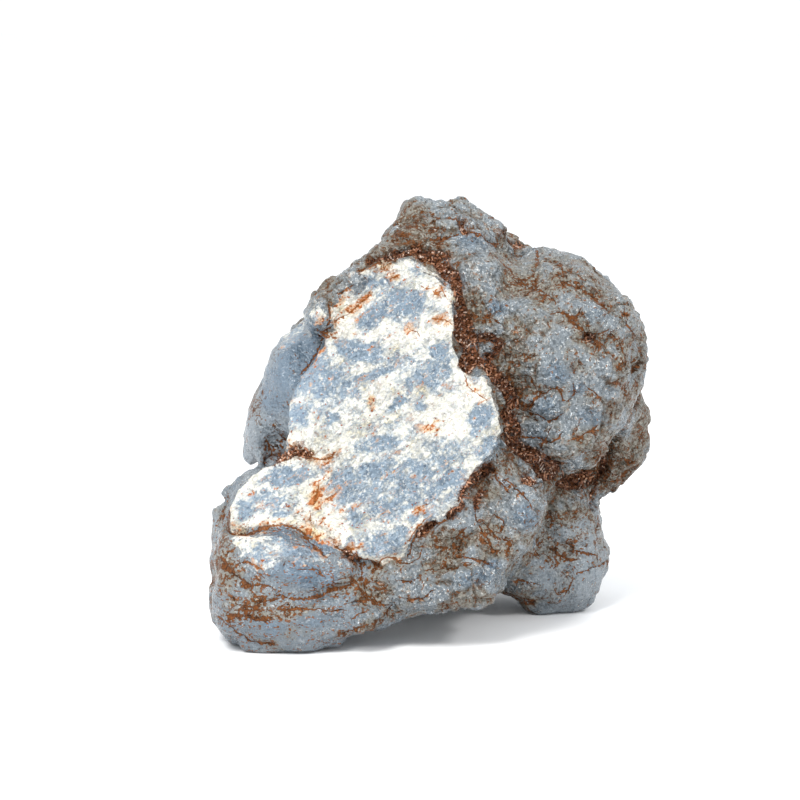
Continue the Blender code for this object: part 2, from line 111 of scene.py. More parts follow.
# Marks that the front carries, drawn in mm on an upright sheet through the middle of the
# stone, as the eye sees it: x to the right and z up. A line is a half width and a route,
# and a patch is its middle, half width, half height, tilt in degrees and strength.
RUST_CRACKS = [
    (0.23, [(2.9, 16.2), (1.7, 15.4), (0.3, 14.7), (-1.5, 13.6), (-2.6, 12.6), (-3.4, 11.4),
        (-3.7, 10.0)]),
    (0.13, [(-13.8, 11.0), (-12.3, 11.1), (-11.2, 11.3)]),
    (0.15, [(-15.6, 11.6), (-14.7, 10.8), (-13.1, 10.7), (-12.3, 9.6), (-11.2, 8.4), (-11.1, 7.2),
        (-11.6, 6.2)]),
    (0.13, [(-11.2, 7.2), (-10.7, 5.7), (-9.9, 3.5), (-7.9, 2.3), (-6.5, 1.3), (-6.8, -0.1)]),
    (0.15, [(-10.7, 8.6), (-9.0, 8.1), (-8.1, 8.8), (-6.9, 9.3), (-5.7, 9.3)]),
    (0.13, [(-5.3, 8.8), (-3.6, 8.6), (-2.2, 9.3), (-1.7, 10.8)]),
    (0.15, [(-3.4, 12.2), (-3.1, 13.4), (-2.0, 14.6), (-1.0, 15.5)]),
    (0.11, [(-2.4, 16.5), (-2.0, 17.7), (-1.0, 18.2)]),
    (0.11, [(-23.4, 8.4), (-23.2, 8.8)]),
    (0.13, [(-28.6, 8.6), (-27.7, 7.9), (-27.0, 7.6)]),
    (0.15, [(-35.0, 5.5), (-35.5, 6.4), (-36.0, 7.4)]),
    (0.13, [(18.3, 30.1), (17.4, 28.4), (16.7, 26.7)]),
    (0.18, [(-0.5, 60.3), (2.3, 60.1), (4.6, 60.9), (6.7, 60.9), (7.6, 60.3), (9.3, 59.4),
        (10.2, 58.9)]),
    (0.16, [(9.0, 58.0), (10.2, 57.3), (11.1, 56.3), (12.2, 55.6), (12.4, 54.7)]),
    (0.23, [(13.2, 54.0), (13.7, 53.1), (14.4, 52.6), (15.3, 52.5), (16.3, 52.4), (17.2, 51.5),
        (18.4, 50.8)]),
    (0.16, [(15.6, 54.4), (15.8, 53.6), (15.6, 52.6)]),
    (0.16, [(12.6, 53.3), (13.3, 52.6), (14.0, 52.4)]),
    (0.16, [(18.1, 56.8), (19.0, 56.1), (20.0, 55.0), (20.2, 53.8)]),
    (0.23, [(15.8, 57.5), (16.2, 56.6)]),
    (0.20, [(20.0, 53.3), (21.1, 52.9), (22.8, 52.4), (24.2, 51.7), (25.3, 51.2), (26.0, 50.3),
        (27.2, 49.1)]),
    (0.23, [(19.1, 48.6), (20.0, 48.6), (21.0, 47.9), (22.1, 47.5), (22.8, 48.6)]),
    (0.20, [(21.2, 47.7), (21.9, 46.8), (23.3, 45.8), (23.8, 44.9)]),
    (0.42, [(23.8, 44.9), (24.7, 44.2), (25.7, 43.7)]),
    (0.16, [(25.7, 43.7), (25.2, 42.5)]),
    (0.11, [(25.4, 44.9), (26.6, 45.1), (27.5, 45.6)]),
    (0.13, [(8.2, 47.9), (9.6, 47.2), (10.7, 46.5), (11.0, 46.1)]),
    (0.16, [(10.8, 43.5), (11.9, 43.7), (12.8, 44.2)]),
    (0.16, [(15.2, 37.6), (15.7, 36.4), (16.3, 35.5), (16.0, 34.5), (15.3, 33.6), (14.1, 33.8),
        (13.4, 34.5)]),
    (0.13, [(16.3, 35.5), (17.3, 35.7), (18.3, 36.2), (19.0, 36.1)]),
    (0.15, [(13.4, 33.3), (14.8, 32.6), (16.0, 32.2), (17.2, 31.2), (18.3, 31.0), (19.5, 31.2),
        (20.2, 31.9)]),
    (0.16, [(19.9, 35.9), (20.4, 34.5), (21.1, 34.1), (21.8, 34.8), (22.3, 35.7)]),
    (0.16, [(22.0, 36.9), (22.3, 35.7)]),
    (0.13, [(24.3, 36.4), (25.3, 35.9), (26.2, 35.0)]),
    (0.15, [(23.0, 28.4), (23.7, 29.3), (24.9, 30.0), (25.6, 30.7)]),
    (0.13, [(24.4, 29.8), (25.4, 29.1)]),
    (0.16, [(12.7, 28.8), (14.6, 28.6), (16.5, 28.4), (18.4, 27.6), (19.5, 28.4), (20.0, 29.1)]),
    (0.13, [(28.0, 44.9), (28.7, 44.0), (29.4, 42.5), (29.7, 41.1)]),
    (0.13, [(29.6, 48.6), (30.0, 46.8), (31.0, 45.4), (31.7, 44.4)]),
    (0.21, [(28.5, 37.6), (29.5, 36.9), (29.7, 35.9)]),
    (0.16, [(22.7, 41.1), (22.9, 40.2), (23.4, 39.7)]),
    (0.13, [(14.5, 41.1), (15.9, 41.6)]),
    (0.20, [(8.8, 63.5), (10.2, 62.4), (11.6, 61.5), (12.2, 60.8)]),
    (0.20, [(9.9, 23.4), (9.9, 22.2), (10.9, 21.3), (11.8, 20.3)]),
    (0.15, [(11.4, 22.0), (12.8, 21.0), (13.7, 20.1), (14.9, 18.9), (15.6, 17.7)]),
    (0.20, [(7.2, 17.2), (6.7, 16.2), (7.2, 14.8), (8.1, 13.3), (8.8, 12.4), (9.3, 10.9),
        (10.0, 10.7)]),
    (0.15, [(7.6, 15.3), (9.0, 14.3), (10.0, 12.9)]),
    (0.20, [(10.2, 16.0), (11.2, 15.0), (10.9, 13.8)]),
    (0.29, [(11.4, 12.4), (12.4, 11.7), (11.9, 10.5)]),
    (0.23, [(0.8, 11.2), (2.2, 10.9), (3.2, 11.2), (3.6, 12.4), (5.0, 13.8)]),
    (0.20, [(3.2, 10.2), (5.1, 9.5), (6.7, 9.2), (8.1, 9.0), (8.8, 8.5)]),
    (0.15, [(-5.1, 3.0), (-3.4, 2.7), (-1.5, 3.0), (-0.1, 4.2)]),
    (0.13, [(-0.8, 7.6), (1.5, 8.0), (4.4, 8.3), (6.0, 8.5)]),
    (0.23, [(-5.1, 5.6), (-3.7, 5.4), (-2.7, 6.1)]),
    (0.13, [(0.8, 0.5), (2.7, 1.5), (4.4, 2.7)]),
    (0.15, [(15.7, 10.2), (16.9, 10.2), (18.0, 10.2), (18.5, 9.7)]),
    (0.23, [(20.4, 9.7), (21.8, 9.2), (22.8, 9.2)]),
    (0.23, [(22.8, 10.5), (24.4, 10.2), (25.6, 10.0)]),
    (0.16, [(23.0, 7.1), (24.7, 7.6), (26.1, 8.0), (27.3, 8.3), (28.0, 9.0)]),
    (0.16, [(21.9, 5.6), (21.6, 4.4), (21.2, 3.7)]),
    (0.23, [(13.8, 5.6), (15.0, 5.4)]),
    (0.23, [(16.3, 5.1), (16.7, 5.0)]),
    (0.15, [(11.0, 3.0), (12.7, 3.0), (14.6, 2.5), (15.7, 2.2)]),
    (0.11, [(25.8, 16.2), (25.8, 13.8), (26.3, 12.4)]),
    (0.15, [(-32.8, 14.6), (-32.6, 15.6), (-32.1, 17.3)]),
    (0.16, [(-19.9, 13.4), (-18.7, 12.5), (-17.3, 11.3), (-16.6, 10.1)]),
    (0.13, [(-21.3, 12.2), (-19.4, 12.2)]),
    (0.20, [(-11.6, 6.2), (-12.8, 5.2), (-14.3, 4.5), (-16.1, 4.0), (-18.0, 3.5), (-19.9, 3.0),
        (-21.8, 2.8), (-24.2, 3.3)]),
    (0.18, [(-12.4, 2.3), (-10.7, 2.8), (-9.5, 2.8), (-7.9, 2.1)]),
    (0.13, [(-12.9, -0.6), (-11.9, 0.4), (-10.2, 0.9)]),
    (0.39, [(-30.4, 1.8), (-28.5, 1.3), (-26.8, 2.3), (-24.7, 2.6)]),
    (0.36, [(-32.3, -0.1), (-30.4, 0.1), (-28.5, -0.6), (-26.8, -0.6)]),
    (0.20, [(-24.2, 1.1), (-22.3, 1.3)]),
    (0.20, [(-20.9, 1.6), (-18.5, 1.3), (-17.8, 1.3)]),
    (0.10, [(-17.8, 1.1), (-16.2, 0.7), (-14.0, 0.9)]),
    (0.49, [(-33.6, 9.6), (-32.9, 8.4), (-32.0, 7.2), (-31.3, 6.4), (-30.3, 5.5), (-29.1, 5.0)]),
    (0.26, [(-29.1, 5.0), (-27.5, 5.2), (-25.6, 4.7)]),
    (0.26, [(-31.0, 8.4), (-29.3, 8.8), (-27.9, 8.1), (-27.2, 7.6)]),
    (0.23, [(-34.6, 0.1), (-33.5, -1.1), (-32.5, -1.6), (-31.4, -2.8), (-29.7, -3.8)]),
    (0.16, [(-29.7, -4.0), (-27.6, -4.7), (-25.2, -5.0)]),
    (0.20, [(-14.8, -3.5), (-12.6, -2.3), (-10.2, -1.6), (-7.9, -0.6)]),
    (0.23, [(-17.8, 7.4), (-17.3, 6.7)]),
    (0.11, [(-20.9, 7.6), (-19.0, 7.6)]),
    (0.11, [(-14.7, 5.9), (-13.5, 6.3)]),
    (0.15, [(-19.6, 25.9), (-18.4, 25.4), (-17.2, 25.2), (-16.1, 25.6), (-15.6, 26.3)]),
    (0.20, [(-24.0, 28.7), (-23.3, 27.8), (-22.1, 27.3)]),
    (0.16, [(-25.7, 27.8), (-25.2, 26.3), (-25.4, 25.2)]),
    (0.20, [(-18.0, 21.1), (-18.3, 19.7), (-18.7, 18.2)]),
    (0.15, [(-16.8, 18.9), (-15.6, 19.7)]),
    (0.20, [(-19.4, 16.3), (-19.2, 15.3)]),
    (0.18, [(-20.6, 39.2), (-19.4, 40.6), (-18.5, 42.2), (-17.5, 43.9), (-17.1, 44.4),
        (-15.2, 44.6)]),
    (0.23, [(-18.2, 45.1), (-17.1, 44.8), (-16.1, 45.8), (-15.2, 46.9), (-14.0, 47.6)]),
    (0.20, [(-16.1, 49.3), (-15.9, 47.6), (-16.3, 46.5)]),
    (0.20, [(-14.2, 51.4), (-13.5, 52.1), (-12.8, 52.3)]),
    (0.11, [(-12.9, 48.3), (-11.7, 49.5), (-10.5, 50.4), (-9.8, 50.9)]),
    (0.16, [(-11.2, 55.1), (-9.6, 56.0), (-8.2, 55.8)]),
    (0.20, [(-7.5, 55.3), (-6.3, 56.0)]),
    (0.15, [(0.6, 63.5), (2.0, 63.2), (3.4, 62.8), (4.8, 62.3)]),
    (0.11, [(-0.3, 59.1), (1.8, 60.0), (3.8, 60.5)]),
    (0.16, [(-6.2, 53.9), (-5.6, 54.1)]),
    (0.13, [(-1.7, 52.5), (-0.5, 52.1), (0.4, 51.4)]),
    (0.10, [(1.3, 52.5), (2.5, 50.0)]),
    (0.10, [(0.2, 47.6), (1.8, 47.4), (3.2, 46.5)]),
    (0.10, [(-3.6, 45.8), (-2.2, 45.3), (-2.2, 44.8)]),
    (0.11, [(5.1, 38.1), (5.4, 36.7), (6.6, 35.9), (8.0, 35.0)]),
    (0.20, [(-32.9, 14.6), (-31.4, 14.3), (-29.5, 14.3), (-27.9, 14.5), (-26.0, 14.8),
        (-24.1, 14.9), (-22.2, 14.6), (-20.8, 14.1), (-19.8, 13.3)]),
]
EARTH_FILLS = [
    (0.40, [(-9.8, 56.5), (-8.2, 56.6), (-5.9, 57.4), (-4.0, 58.0), (-2.2, 58.5)]),
    (0.65, [(-1.5, 57.4), (0.4, 58.1), (1.5, 57.4)]),
    (0.62, [(-0.7, 57.7), (0.7, 56.8), (1.8, 55.4), (2.8, 54.3)]),
    (0.31, [(2.8, 54.3), (3.7, 52.6), (4.2, 50.5), (4.8, 48.4)]),
    (0.95, [(4.8, 47.0), (5.0, 45.1), (6.0, 43.3), (6.1, 41.8), (5.5, 40.4)]),
    (0.37, [(6.6, 44.2), (8.9, 44.3), (10.2, 43.3), (9.6, 41.6), (8.2, 41.4)]),
    (0.55, [(6.3, 41.6), (8.4, 40.9), (9.4, 39.5), (10.1, 38.1), (11.3, 36.7), (12.2, 35.5)]),
    (0.62, [(12.0, 35.5), (12.5, 34.1), (11.8, 32.4), (12.6, 30.7), (13.1, 29.3), (12.3, 27.6)]),
    (0.46, [(10.7, 59.6), (12.0, 59.1), (13.7, 59.3)]),
    (0.37, [(4.5, 62.4), (5.0, 61.3)]),
    (0.34, [(24.0, 44.7), (25.0, 44.1)]),
    (0.71, [(12.1, 29.4), (12.7, 27.7), (14.4, 26.4), (16.0, 25.3), (17.4, 24.6), (18.9, 24.1)]),
    (0.92, [(15.3, 22.5), (17.0, 22.9), (18.9, 22.5), (20.7, 22.0), (22.6, 22.0), (24.5, 22.3)]),
    (0.25, [(26.5, 24.8), (26.4, 22.0), (26.0, 19.1), (25.5, 17.7)]),
    (0.43, [(9.2, 23.9), (7.6, 22.5), (6.0, 21.3), (4.7, 19.3)]),
    (0.34, [(4.8, 17.8), (3.4, 16.7), (2.7, 16.1)]),
    (0.25, [(0.3, 14.8), (-1.5, 13.7), (-2.0, 13.2)]),
    (0.28, [(8.1, 20.3), (7.4, 19.1), (7.2, 17.4)]),
    (0.31, [(-14.1, 10.5), (-13.3, 10.1)]),
    (0.20, [(-12.3, 9.6), (-11.2, 8.4), (-11.1, 7.2)]),
    (0.17, [(-15.6, 11.9), (-15.3, 11.4)]),
    (0.43, [(-25.4, 25.2), (-24.0, 25.6), (-22.6, 26.0), (-21.2, 26.6), (-19.6, 26.2)]),
]
CREASES = [
    (0.12, [(-11.2, 7.2), (-10.7, 5.7), (-9.9, 3.5), (-7.9, 2.3), (-6.5, 1.3), (-6.8, -0.1)]),
    (0.12, [(-15.6, 11.6), (-14.7, 10.8), (-13.1, 10.7), (-12.3, 9.6), (-11.2, 8.4), (-11.1, 7.2),
        (-11.6, 6.2)]),
    (0.09, [(-11.6, 6.2), (-12.8, 5.2), (-14.3, 4.5), (-16.1, 4.0), (-18.0, 3.5), (-19.9, 3.0)]),
    (0.09, [(-32.9, 14.6), (-31.4, 14.3), (-29.5, 14.3), (-27.9, 14.5), (-26.0, 14.8),
        (-24.1, 14.9), (-22.2, 14.6), (-20.8, 14.1), (-19.8, 13.3), (-18.5, 12.0), (-16.8, 10.8)]),
    (0.09, [(-12.6, 2.1), (-11.4, 2.6), (-9.8, 2.7), (-7.9, 1.8), (-6.9, 0.6)]),
    (0.09, [(-10.7, 8.6), (-9.0, 8.1), (-8.1, 8.8), (-6.9, 9.3)]),
    (0.09, [(15.3, 33.6), (16.0, 34.5), (16.3, 35.5), (17.3, 35.7), (18.3, 36.2)]),
    (0.09, [(13.4, 33.3), (14.8, 32.6), (16.0, 32.2), (17.2, 31.2), (18.3, 31.0), (19.5, 31.2)]),
]
FILLED_FURROWS = [
    (0.14, [(-32.2, 13.7), (-29.5, 13.4), (-26.0, 13.9), (-22.2, 13.4), (-19.8, 12.0),
        (-16.8, 10.1)]),
    (0.14, [(-11.2, 6.4), (-10.7, 5.0), (-9.9, 3.0), (-7.9, 1.8), (-6.5, 0.9)]),
    (0.19, [(9.5, 58.0), (10.7, 56.6), (11.6, 55.2)]),
]
LEDGES = [
    (0.47, [(27.3, 40.7), (28.1, 37.4), (28.5, 34.3), (28.1, 31.9), (27.0, 29.1)]),
    (0.47, [(28.7, 49.6), (28.7, 45.4), (29.6, 41.8), (30.3, 38.3), (30.1, 34.5), (28.6, 31.0)]),
    (0.47, [(29.8, 49.8), (31.0, 46.3), (31.9, 43.5), (32.1, 40.2), (31.7, 36.9), (30.5, 33.6)]),
    (0.42, [(27.2, 53.8), (28.4, 51.5), (28.8, 49.6)]),
    (0.37, [(21.4, 23.6), (23.5, 24.4), (25.2, 25.6), (26.6, 27.2)]),
]
BLUE_PATCHES = [
    (-4.7, 50.0, 3.8, 2.4, 12, 1.0), (-9.6, 47.9, 2.9, 1.4, 45, 0.9),
    (-8.4, 53.0, 2.2, 0.8, 8, 0.8), (2.0, 52.5, 1.4, 1.0, -20, 0.5),
    (-2.6, 55.1, 1.4, 0.9, 0, 0.5), (-11.7, 42.5, 4.1, 1.7, -12, 1.0),
    (-16.6, 36.6, 2.9, 1.6, 40, 0.8), (-9.9, 38.7, 4.0, 0.7, 14, 0.8),
    (0.9, 42.2, 2.4, 1.6, -20, 0.9), (2.0, 39.2, 1.7, 1.4, -30, 0.8),
    (-3.8, 37.3, 0.6, 1.9, 0, 0.8), (-5.7, 34.2, 1.9, 0.7, 35, 1.0),
    (-19.9, 38.5, 0.9, 0.8, 0, 0.7), (-21.0, 32.3, 1.4, 2.1, 20, 0.8),
    (-15.7, 32.1, 1.3, 1.6, 10, 0.7), (-1.9, 33.7, 0.8, 0.7, 0, 0.7),
    (7.3, 32.2, 2.0, 1.9, 20, 1.0), (6.9, 38.3, 0.9, 1.4, 0, 0.4), (9.2, 27.6, 1.4, 1.2, 0, 0.8),
    (2.7, 22.0, 2.4, 1.6, 38, 1.0), (-2.0, 23.9, 2.8, 1.2, -20, 0.9),
    (8.0, 26.2, 1.3, 1.4, 0, 0.8), (4.5, 25.6, 0.8, 0.5, 0, 0.7), (-3.0, 16.0, 1.3, 0.8, 0, 0.8),
    (6.6, 30.1, 1.2, 1.6, 0, 0.6), (-4.8, 13.8, 1.2, 1.0, 0, 0.8), (1.5, 21.3, 1.2, 1.4, 30, 0.9),
    (-23.1, 22.5, 3.7, 1.4, 10, 1.0), (-29.5, 17.5, 1.4, 2.1, 0, 0.9),
    (-24.1, 16.5, 1.7, 0.5, 0, 0.7), (-10.2, 23.2, 3.5, 1.4, 20, 0.9),
    (-8.3, 27.9, 3.8, 1.3, 8, 0.9), (-7.4, 18.0, 2.7, 1.9, 15, 0.9),
    (-12.3, 16.3, 1.4, 1.7, 0, 0.7), (-9.3, 12.5, 0.8, 1.0, 0, 0.9),
    (-6.2, 12.7, 1.4, 1.2, 0, 0.7), (-3.1, 15.8, 1.2, 0.8, 20, 0.7),
    (-23.4, 13.4, 2.1, 1.4, 0, 0.8), (-18.0, 11.7, 3.5, 1.0, -10, 0.9),
    (-24.0, 23.7, 2.1, 0.9, 0, 0.8), (-20.8, 11.0, 3.3, 1.6, 0, 0.9),
    (-26.7, 11.0, 1.6, 1.2, 0, 0.4), (-20.9, 41.1, 3.5, 6.1, -25, 1.0),
    (-24.6, 36.8, 2.6, 4.7, -15, 0.9), (-22.5, 32.3, 1.4, 2.1, 0, 0.6),
    (-19.4, 6.4, 4.9, 1.6, -5, 0.8), (-25.7, -2.1, 3.0, 1.6, 0, 0.7),
    (-19.5, -1.1, 3.7, 1.2, 5, 0.5), (-31.6, 22.8, 1.4, 3.5, -30, 0.9),
    (9.8, 49.1, 1.9, 1.4, 0, 0.6), (19.4, 38.8, 2.6, 2.3, 0, 0.6), (22.9, 36.2, 1.6, 1.2, 0, 0.6),
    (18.1, 33.6, 1.9, 1.9, 0, 0.7), (25.3, 31.9, 3.0, 1.6, -20, 0.6),
    (16.5, 29.1, 2.1, 1.2, 0, 0.6), (6.0, 59.4, 2.8, 1.4, -10, 0.6),
    (-20.4, 6.9, 6.1, 2.1, -5, 0.9), (25.4, 48.2, 2.1, 1.9, 0, 0.5),
    (14.9, 16.2, 2.8, 2.6, 20, 0.7), (6.7, 6.1, 3.7, 1.6, 10, 0.6), (9.6, 8.5, 1.4, 1.2, 0, 0.7),
    (-4.8, 20.1, 9.0, 5.9, -10, 0.6), (-13.7, 21.6, 4.0, 3.4, 0, 0.6),
    (-0.7, 39.1, 5.3, 3.1, -15, 0.6), (-8.5, 11.6, 5.9, 2.2, 8, 0.6),
    (-16.0, 37.0, 4.7, 5.3, 30, 0.6), (-5.9, 50.4, 6.5, 4.0, -8, 0.5),
    (1.2, 25.9, 4.7, 2.8, 30, 0.5), (-26.7, 18.8, 4.7, 2.2, 0, 0.6),
    (-26.8, 9.8, 3.7, 1.6, -12, 0.5), (-5.4, 29.9, 4.7, 1.9, 0, 0.3),
]
PALE_PATCHES = [
    (-21.7, 45.5, 2.6, 1.0, 58, 1.4), (-24.1, 11.5, 7.7, 1.9, -14, 0.6),
    (-26.7, 9.3, 3.5, 1.6, -32, 0.8), (-19.9, 11.5, 3.0, 1.0, -20, 0.6),
    (-28.6, 11.7, 2.6, 2.0, -15, 1.0), (-29.8, 13.2, 1.4, 0.9, 0, 0.9),
    (-27.0, 9.3, 2.1, 2.1, -25, 0.9), (-22.2, 45.1, 0.9, 2.2, -32, 1.0),
    (-18.0, 48.3, 1.4, 1.6, 0, 0.7), (-25.7, 40.8, 0.6, 1.2, 0, 0.3),
]
ORANGE_STAINS = [
    (-0.9, 30.2, 1.7, 0.7, -8, 1.0), (-9.7, 34.7, 0.6, 1.2, 10, 1.0),
    (-16.5, 22.8, 0.7, 1.6, -25, 0.6), (-18.4, 19.2, 0.7, 1.9, 0, 0.8),
    (-18.5, 13.4, 2.1, 1.0, -30, 0.9), (-16.1, 15.6, 2.1, 2.8, 0, 0.3),
    (-17.0, 20.9, 2.6, 3.3, 0, 0.3), (-27.1, 18.2, 0.7, 0.5, 0, 0.7),
    (-22.7, 17.7, 0.8, 0.4, 0, 0.6), (-24.1, 15.6, 1.4, 0.3, 0, 0.5),
    (-28.5, 20.6, 0.3, 0.5, 0, 0.7), (-30.2, 19.7, 0.3, 0.4, 0, 0.6),
    (-17.0, 46.5, 1.4, 1.6, 0, 0.8), (-14.2, 49.7, 1.2, 1.0, 0, 0.7),
    (-11.5, 49.5, 2.6, 0.6, 40, 0.5), (-1.9, 36.8, 0.7, 0.5, 0, 0.5),
    (-22.0, 34.5, 0.7, 0.5, 0, 0.6), (-19.4, 35.4, 0.5, 0.7, 0, 0.5),
    (-7.0, 55.6, 1.0, 0.4, 15, 0.7), (-5.9, 53.9, 0.6, 0.3, 0, 0.8),
    (-2.3, 17.7, 1.4, 0.3, 20, 0.6), (-2.4, 17.5, 1.4, 0.3, 25, 0.6),
    (-12.1, 11.0, 1.4, 0.3, 0, 0.7), (-11.9, 18.2, 0.9, 0.9, 0, 0.4),
    (0.4, 31.4, 0.9, 0.3, 0, 0.8),
]
EARTH_DUSTING = [
    (-27.9, 34.7, 1.4, 4.0, 12, 1.2), (-4.0, 61.1, 4.4, 3.5, 0, 1.0),
    (-7.7, 57.7, 2.1, 1.4, 20, 1.0), (-32.9, 10.3, 2.1, 4.9, 0, 0.9),
    (-28.5, 0.9, 5.4, 2.1, 0, 0.9), (-9.1, 4.5, 3.0, 2.6, 0, 0.8), (0.6, 12.6, 3.5, 1.4, 20, 0.9),
    (11.8, 25.1, 2.6, 2.1, -30, 0.7), (14.9, 52.4, 4.0, 2.1, 0, 0.7),
    (5.4, 48.6, 1.6, 3.5, 0, 0.6), (30.8, 42.5, 2.1, 7.7, 0, 0.6), (28.5, 23.6, 3.5, 4.4, 20, 1.0),
    (21.2, 21.3, 4.7, 2.1, 0, 0.9), (20.4, 13.3, 6.1, 4.7, 0, 0.8),
    (21.7, 48.4, 3.7, 1.9, -20, 0.5), (24.6, 52.9, 4.7, 2.6, -30, 0.5),
    (15.0, 3.2, 5.6, 2.1, 0, 0.5), (-17.5, 53.5, 2.8, 1.4, 40, 0.6),
    (-10.2, -2.1, 4.7, 1.2, 20, 0.7), (-33.4, 8.4, 2.1, 6.1, 8, 1.0),
    (-27.5, 2.1, 7.0, 1.9, -6, 0.8), (-28.1, 33.5, 1.6, 3.5, 10, 0.8),
    (12.2, 39.0, 1.4, 3.5, 20, 0.6),
]


def fine_copy(source):
    """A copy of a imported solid's mesh on a fine grid, its flat facets eased away."""
    mesh = source.data.copy()
    bm = bmesh.new()
    bm.from_mesh(mesh)
    bmesh.ops.remove_doubles(bm, verts=bm.verts, dist=0.001 * MM)
    bm.to_mesh(mesh)
    bm.free()
    mesh.materials.clear()
    piece = bpy.data.objects.new("rough_stone", mesh)
    bpy.context.scene.collection.objects.link(piece)
    remesh = piece.modifiers.new("grid", "REMESH")
    remesh.mode = "VOXEL"
    remesh.voxel_size = SKIN_GRID * MM
    ease = piece.modifiers.new("ease", "SMOOTH")
    ease.factor = 0.5
    ease.iterations = SKIN_SMOOTHING
    return piece


def settle(piece):
    """Replace a piece's mesh by what its modifiers make of it."""
    graph = bpy.context.evaluated_depsgraph_get()
    piece.data = bpy.data.meshes.new_from_object(piece.evaluated_get(graph))
    piece.modifiers.clear()


def vertex_values(mesh, what):
    """The vertices' places, or their normals, as an array with a row for each."""
    values = np.zeros(len(mesh.vertices) * 3, np.float32)
    mesh.vertices.foreach_get(what, values)
    return values.reshape(-1, 3).astype(float)


def on_sheet(points):
    """Where the eye sees points on the drawing sheet, the upright plane through y = 0."""
    eye = np.array(EYE)
    reach = -eye[1] / (points[:, 1] - eye[1])
    seen = eye + (points - eye) * reach[:, None]
    return seen[:, [0, 2]]


def seen_by_eye(points, normals, tree):
    """Whether nothing of the stone stands between each point and the eye."""
    lifted = points + RAY_START * normals
    toward = np.array(EYE) - lifted
    toward /= np.linalg.norm(toward, axis=1)[:, None]
    turned = (toward * normals).sum(axis=1) > GRAZING
    clear = np.zeros(len(points), bool)
    for i in np.flatnonzero(turned):
        clear[i] = tree.ray_cast(Vector(lifted[i]), Vector(toward[i]))[0] is None
    return clear


def from_path(points, path):
    """How far points are from a path: on a plane, signed by the side they lie on."""
    nearest = np.full(len(points), 99.0)
    side = np.ones(len(points))
    for start, end in zip(path, path[1:]):
        start, run = np.array(start), np.array(end) - np.array(start)
        offset = points - start
        along = np.clip(offset @ run / (run @ run), 0.0, 1.0)
        gap = np.linalg.norm(offset - along[:, None] * run, axis=1)
        left = np.sign(run[0] * offset[:, 1] - run[1] * offset[:, 0] + 1e-9)
        closer = gap < nearest
        nearest[closer], side[closer] = gap[closer], left[closer]
    return nearest * side


def line_field(sheet, lines, reach):
    """1 on drawn lines, falling to 0 at `reach` mm beside them, and 0 on all that is hidden."""
    field = np.zeros(len(sheet))
    for half_width, route in lines:
        beside = np.abs(from_path(sheet, route)) - half_width
        field = np.maximum(field, np.clip(1.0 - beside / reach, 0.0, 1.0))
    return field


def patch_field(sheet, patches):
    """0.5 along the rim of drawn patches, more inside them and less outside."""
    field = np.zeros(len(sheet))
    for x, z, half_width, half_height, tilt, strength in patches:
        turn = math.radians(tilt)
        right, up = sheet[:, 0] - x, sheet[:, 1] - z
        along = (right * math.cos(turn) + up * math.sin(turn)) / half_width
        across = (up * math.cos(turn) - right * math.sin(turn)) / half_height
        field = np.maximum(field, strength * np.clip(1.5 - np.hypot(along, across), 0.0, 1.0))
    return field


def inside_outline(flat, outline):
    """Whether points of a plane lie inside an outline, by crossings."""
    inside = np.zeros(len(flat), bool)
    for (x0, y0), (x1, y1) in zip(outline, outline[1:] + outline[:1]):
        spans = (y0 > flat[:, 1]) != (y1 > flat[:, 1])
        rise = y1 - y0 if y1 != y0 else 1.0
        inside ^= spans & (flat[:, 0] < x0 + (flat[:, 1] - y0) * (x1 - x0) / rise)
    return inside


def into_face(points, normals):
    """How far each point lies inside the broken face's outline, and below 0 outside it."""
    offset = points - FACE_POINT
    flat = np.column_stack((offset @ np.array(FACE_ACROSS), offset @ np.array(FACE_UP)))
    rim = np.abs(from_path(flat, FACE_OUTLINE + FACE_OUTLINE[:1]))
    level = np.abs(offset @ np.array(FACE_NORMAL)) < FACE_THICKNESS
    facing = normals @ np.array(FACE_NORMAL) > FACE_FACING
    inside = inside_outline(flat, FACE_OUTLINE) & level & facing
    return np.clip(np.where(inside, rim, -rim), -2.0, 2.0)


def rolling(points, size, seed):
    """Smooth noise about 0, between -1 and 1, with its swells about `size` mm wide."""
    shift = Vector((seed * 13.7, seed * 5.1, seed * 9.3))
    return np.array([noise.noise(Vector(p) + shift) for p in points / size])


def cells(points, size, seed):
    """Irregular cells `size` mm wide: how far from a wall, the cell's height, and its tilt."""
    shift = Vector((seed * 11.3, seed * 3.7, seed * 7.9))
    walls, heights, tilts = np.zeros((3, len(points)))
    for i, point in enumerate(points / size):
        place = Vector(point) + shift
        distances, seeds = noise.voronoi(place)
        walls[i] = distances[1] - distances[0]
        heights[i] = noise.noise(seeds[0] * 5.3)
        lean = noise.cell_vector(seeds[0] * 7.1) - Vector((0.5, 0.5, 0.5))
        tilts[i] = (place - seeds[0]).dot(lean)
    return walls, heights, tilts


def step(values, low, high):
    """0 below low, 1 above high, and smooth between."""
    share = np.clip((values - low) / (high - low), 0.0, 1.0)
    return share * share * (3.0 - 2.0 * share)


stone = fine_copy(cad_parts["angelite"])
settle(stone)
points = vertex_values(stone.data, "co") / MM
normals = vertex_values(stone.data, "normal")
tree = BVHTree.FromPolygons([Vector(p) for p in points], [p.vertices for p in stone.data.polygons])
sheet = on_sheet(points)
sheet[~seen_by_eye(points, normals, tree)] = HIDDEN

# How deep each spot lies below the stone's broad form: the furrows hold the earth.
BROAD_SMOOTHING = 150

broad = stone.copy()
broad.data = stone.data.copy()
bpy.context.scene.collection.objects.link(broad)
ease = broad.modifiers.new("ease", "SMOOTH")
ease.factor = 0.5
ease.iterations = BROAD_SMOOTHING
settle(broad)
hollow = ((vertex_values(broad.data, "co") / MM - points) * normals).sum(axis=1)
bpy.data.objects.remove(broad)

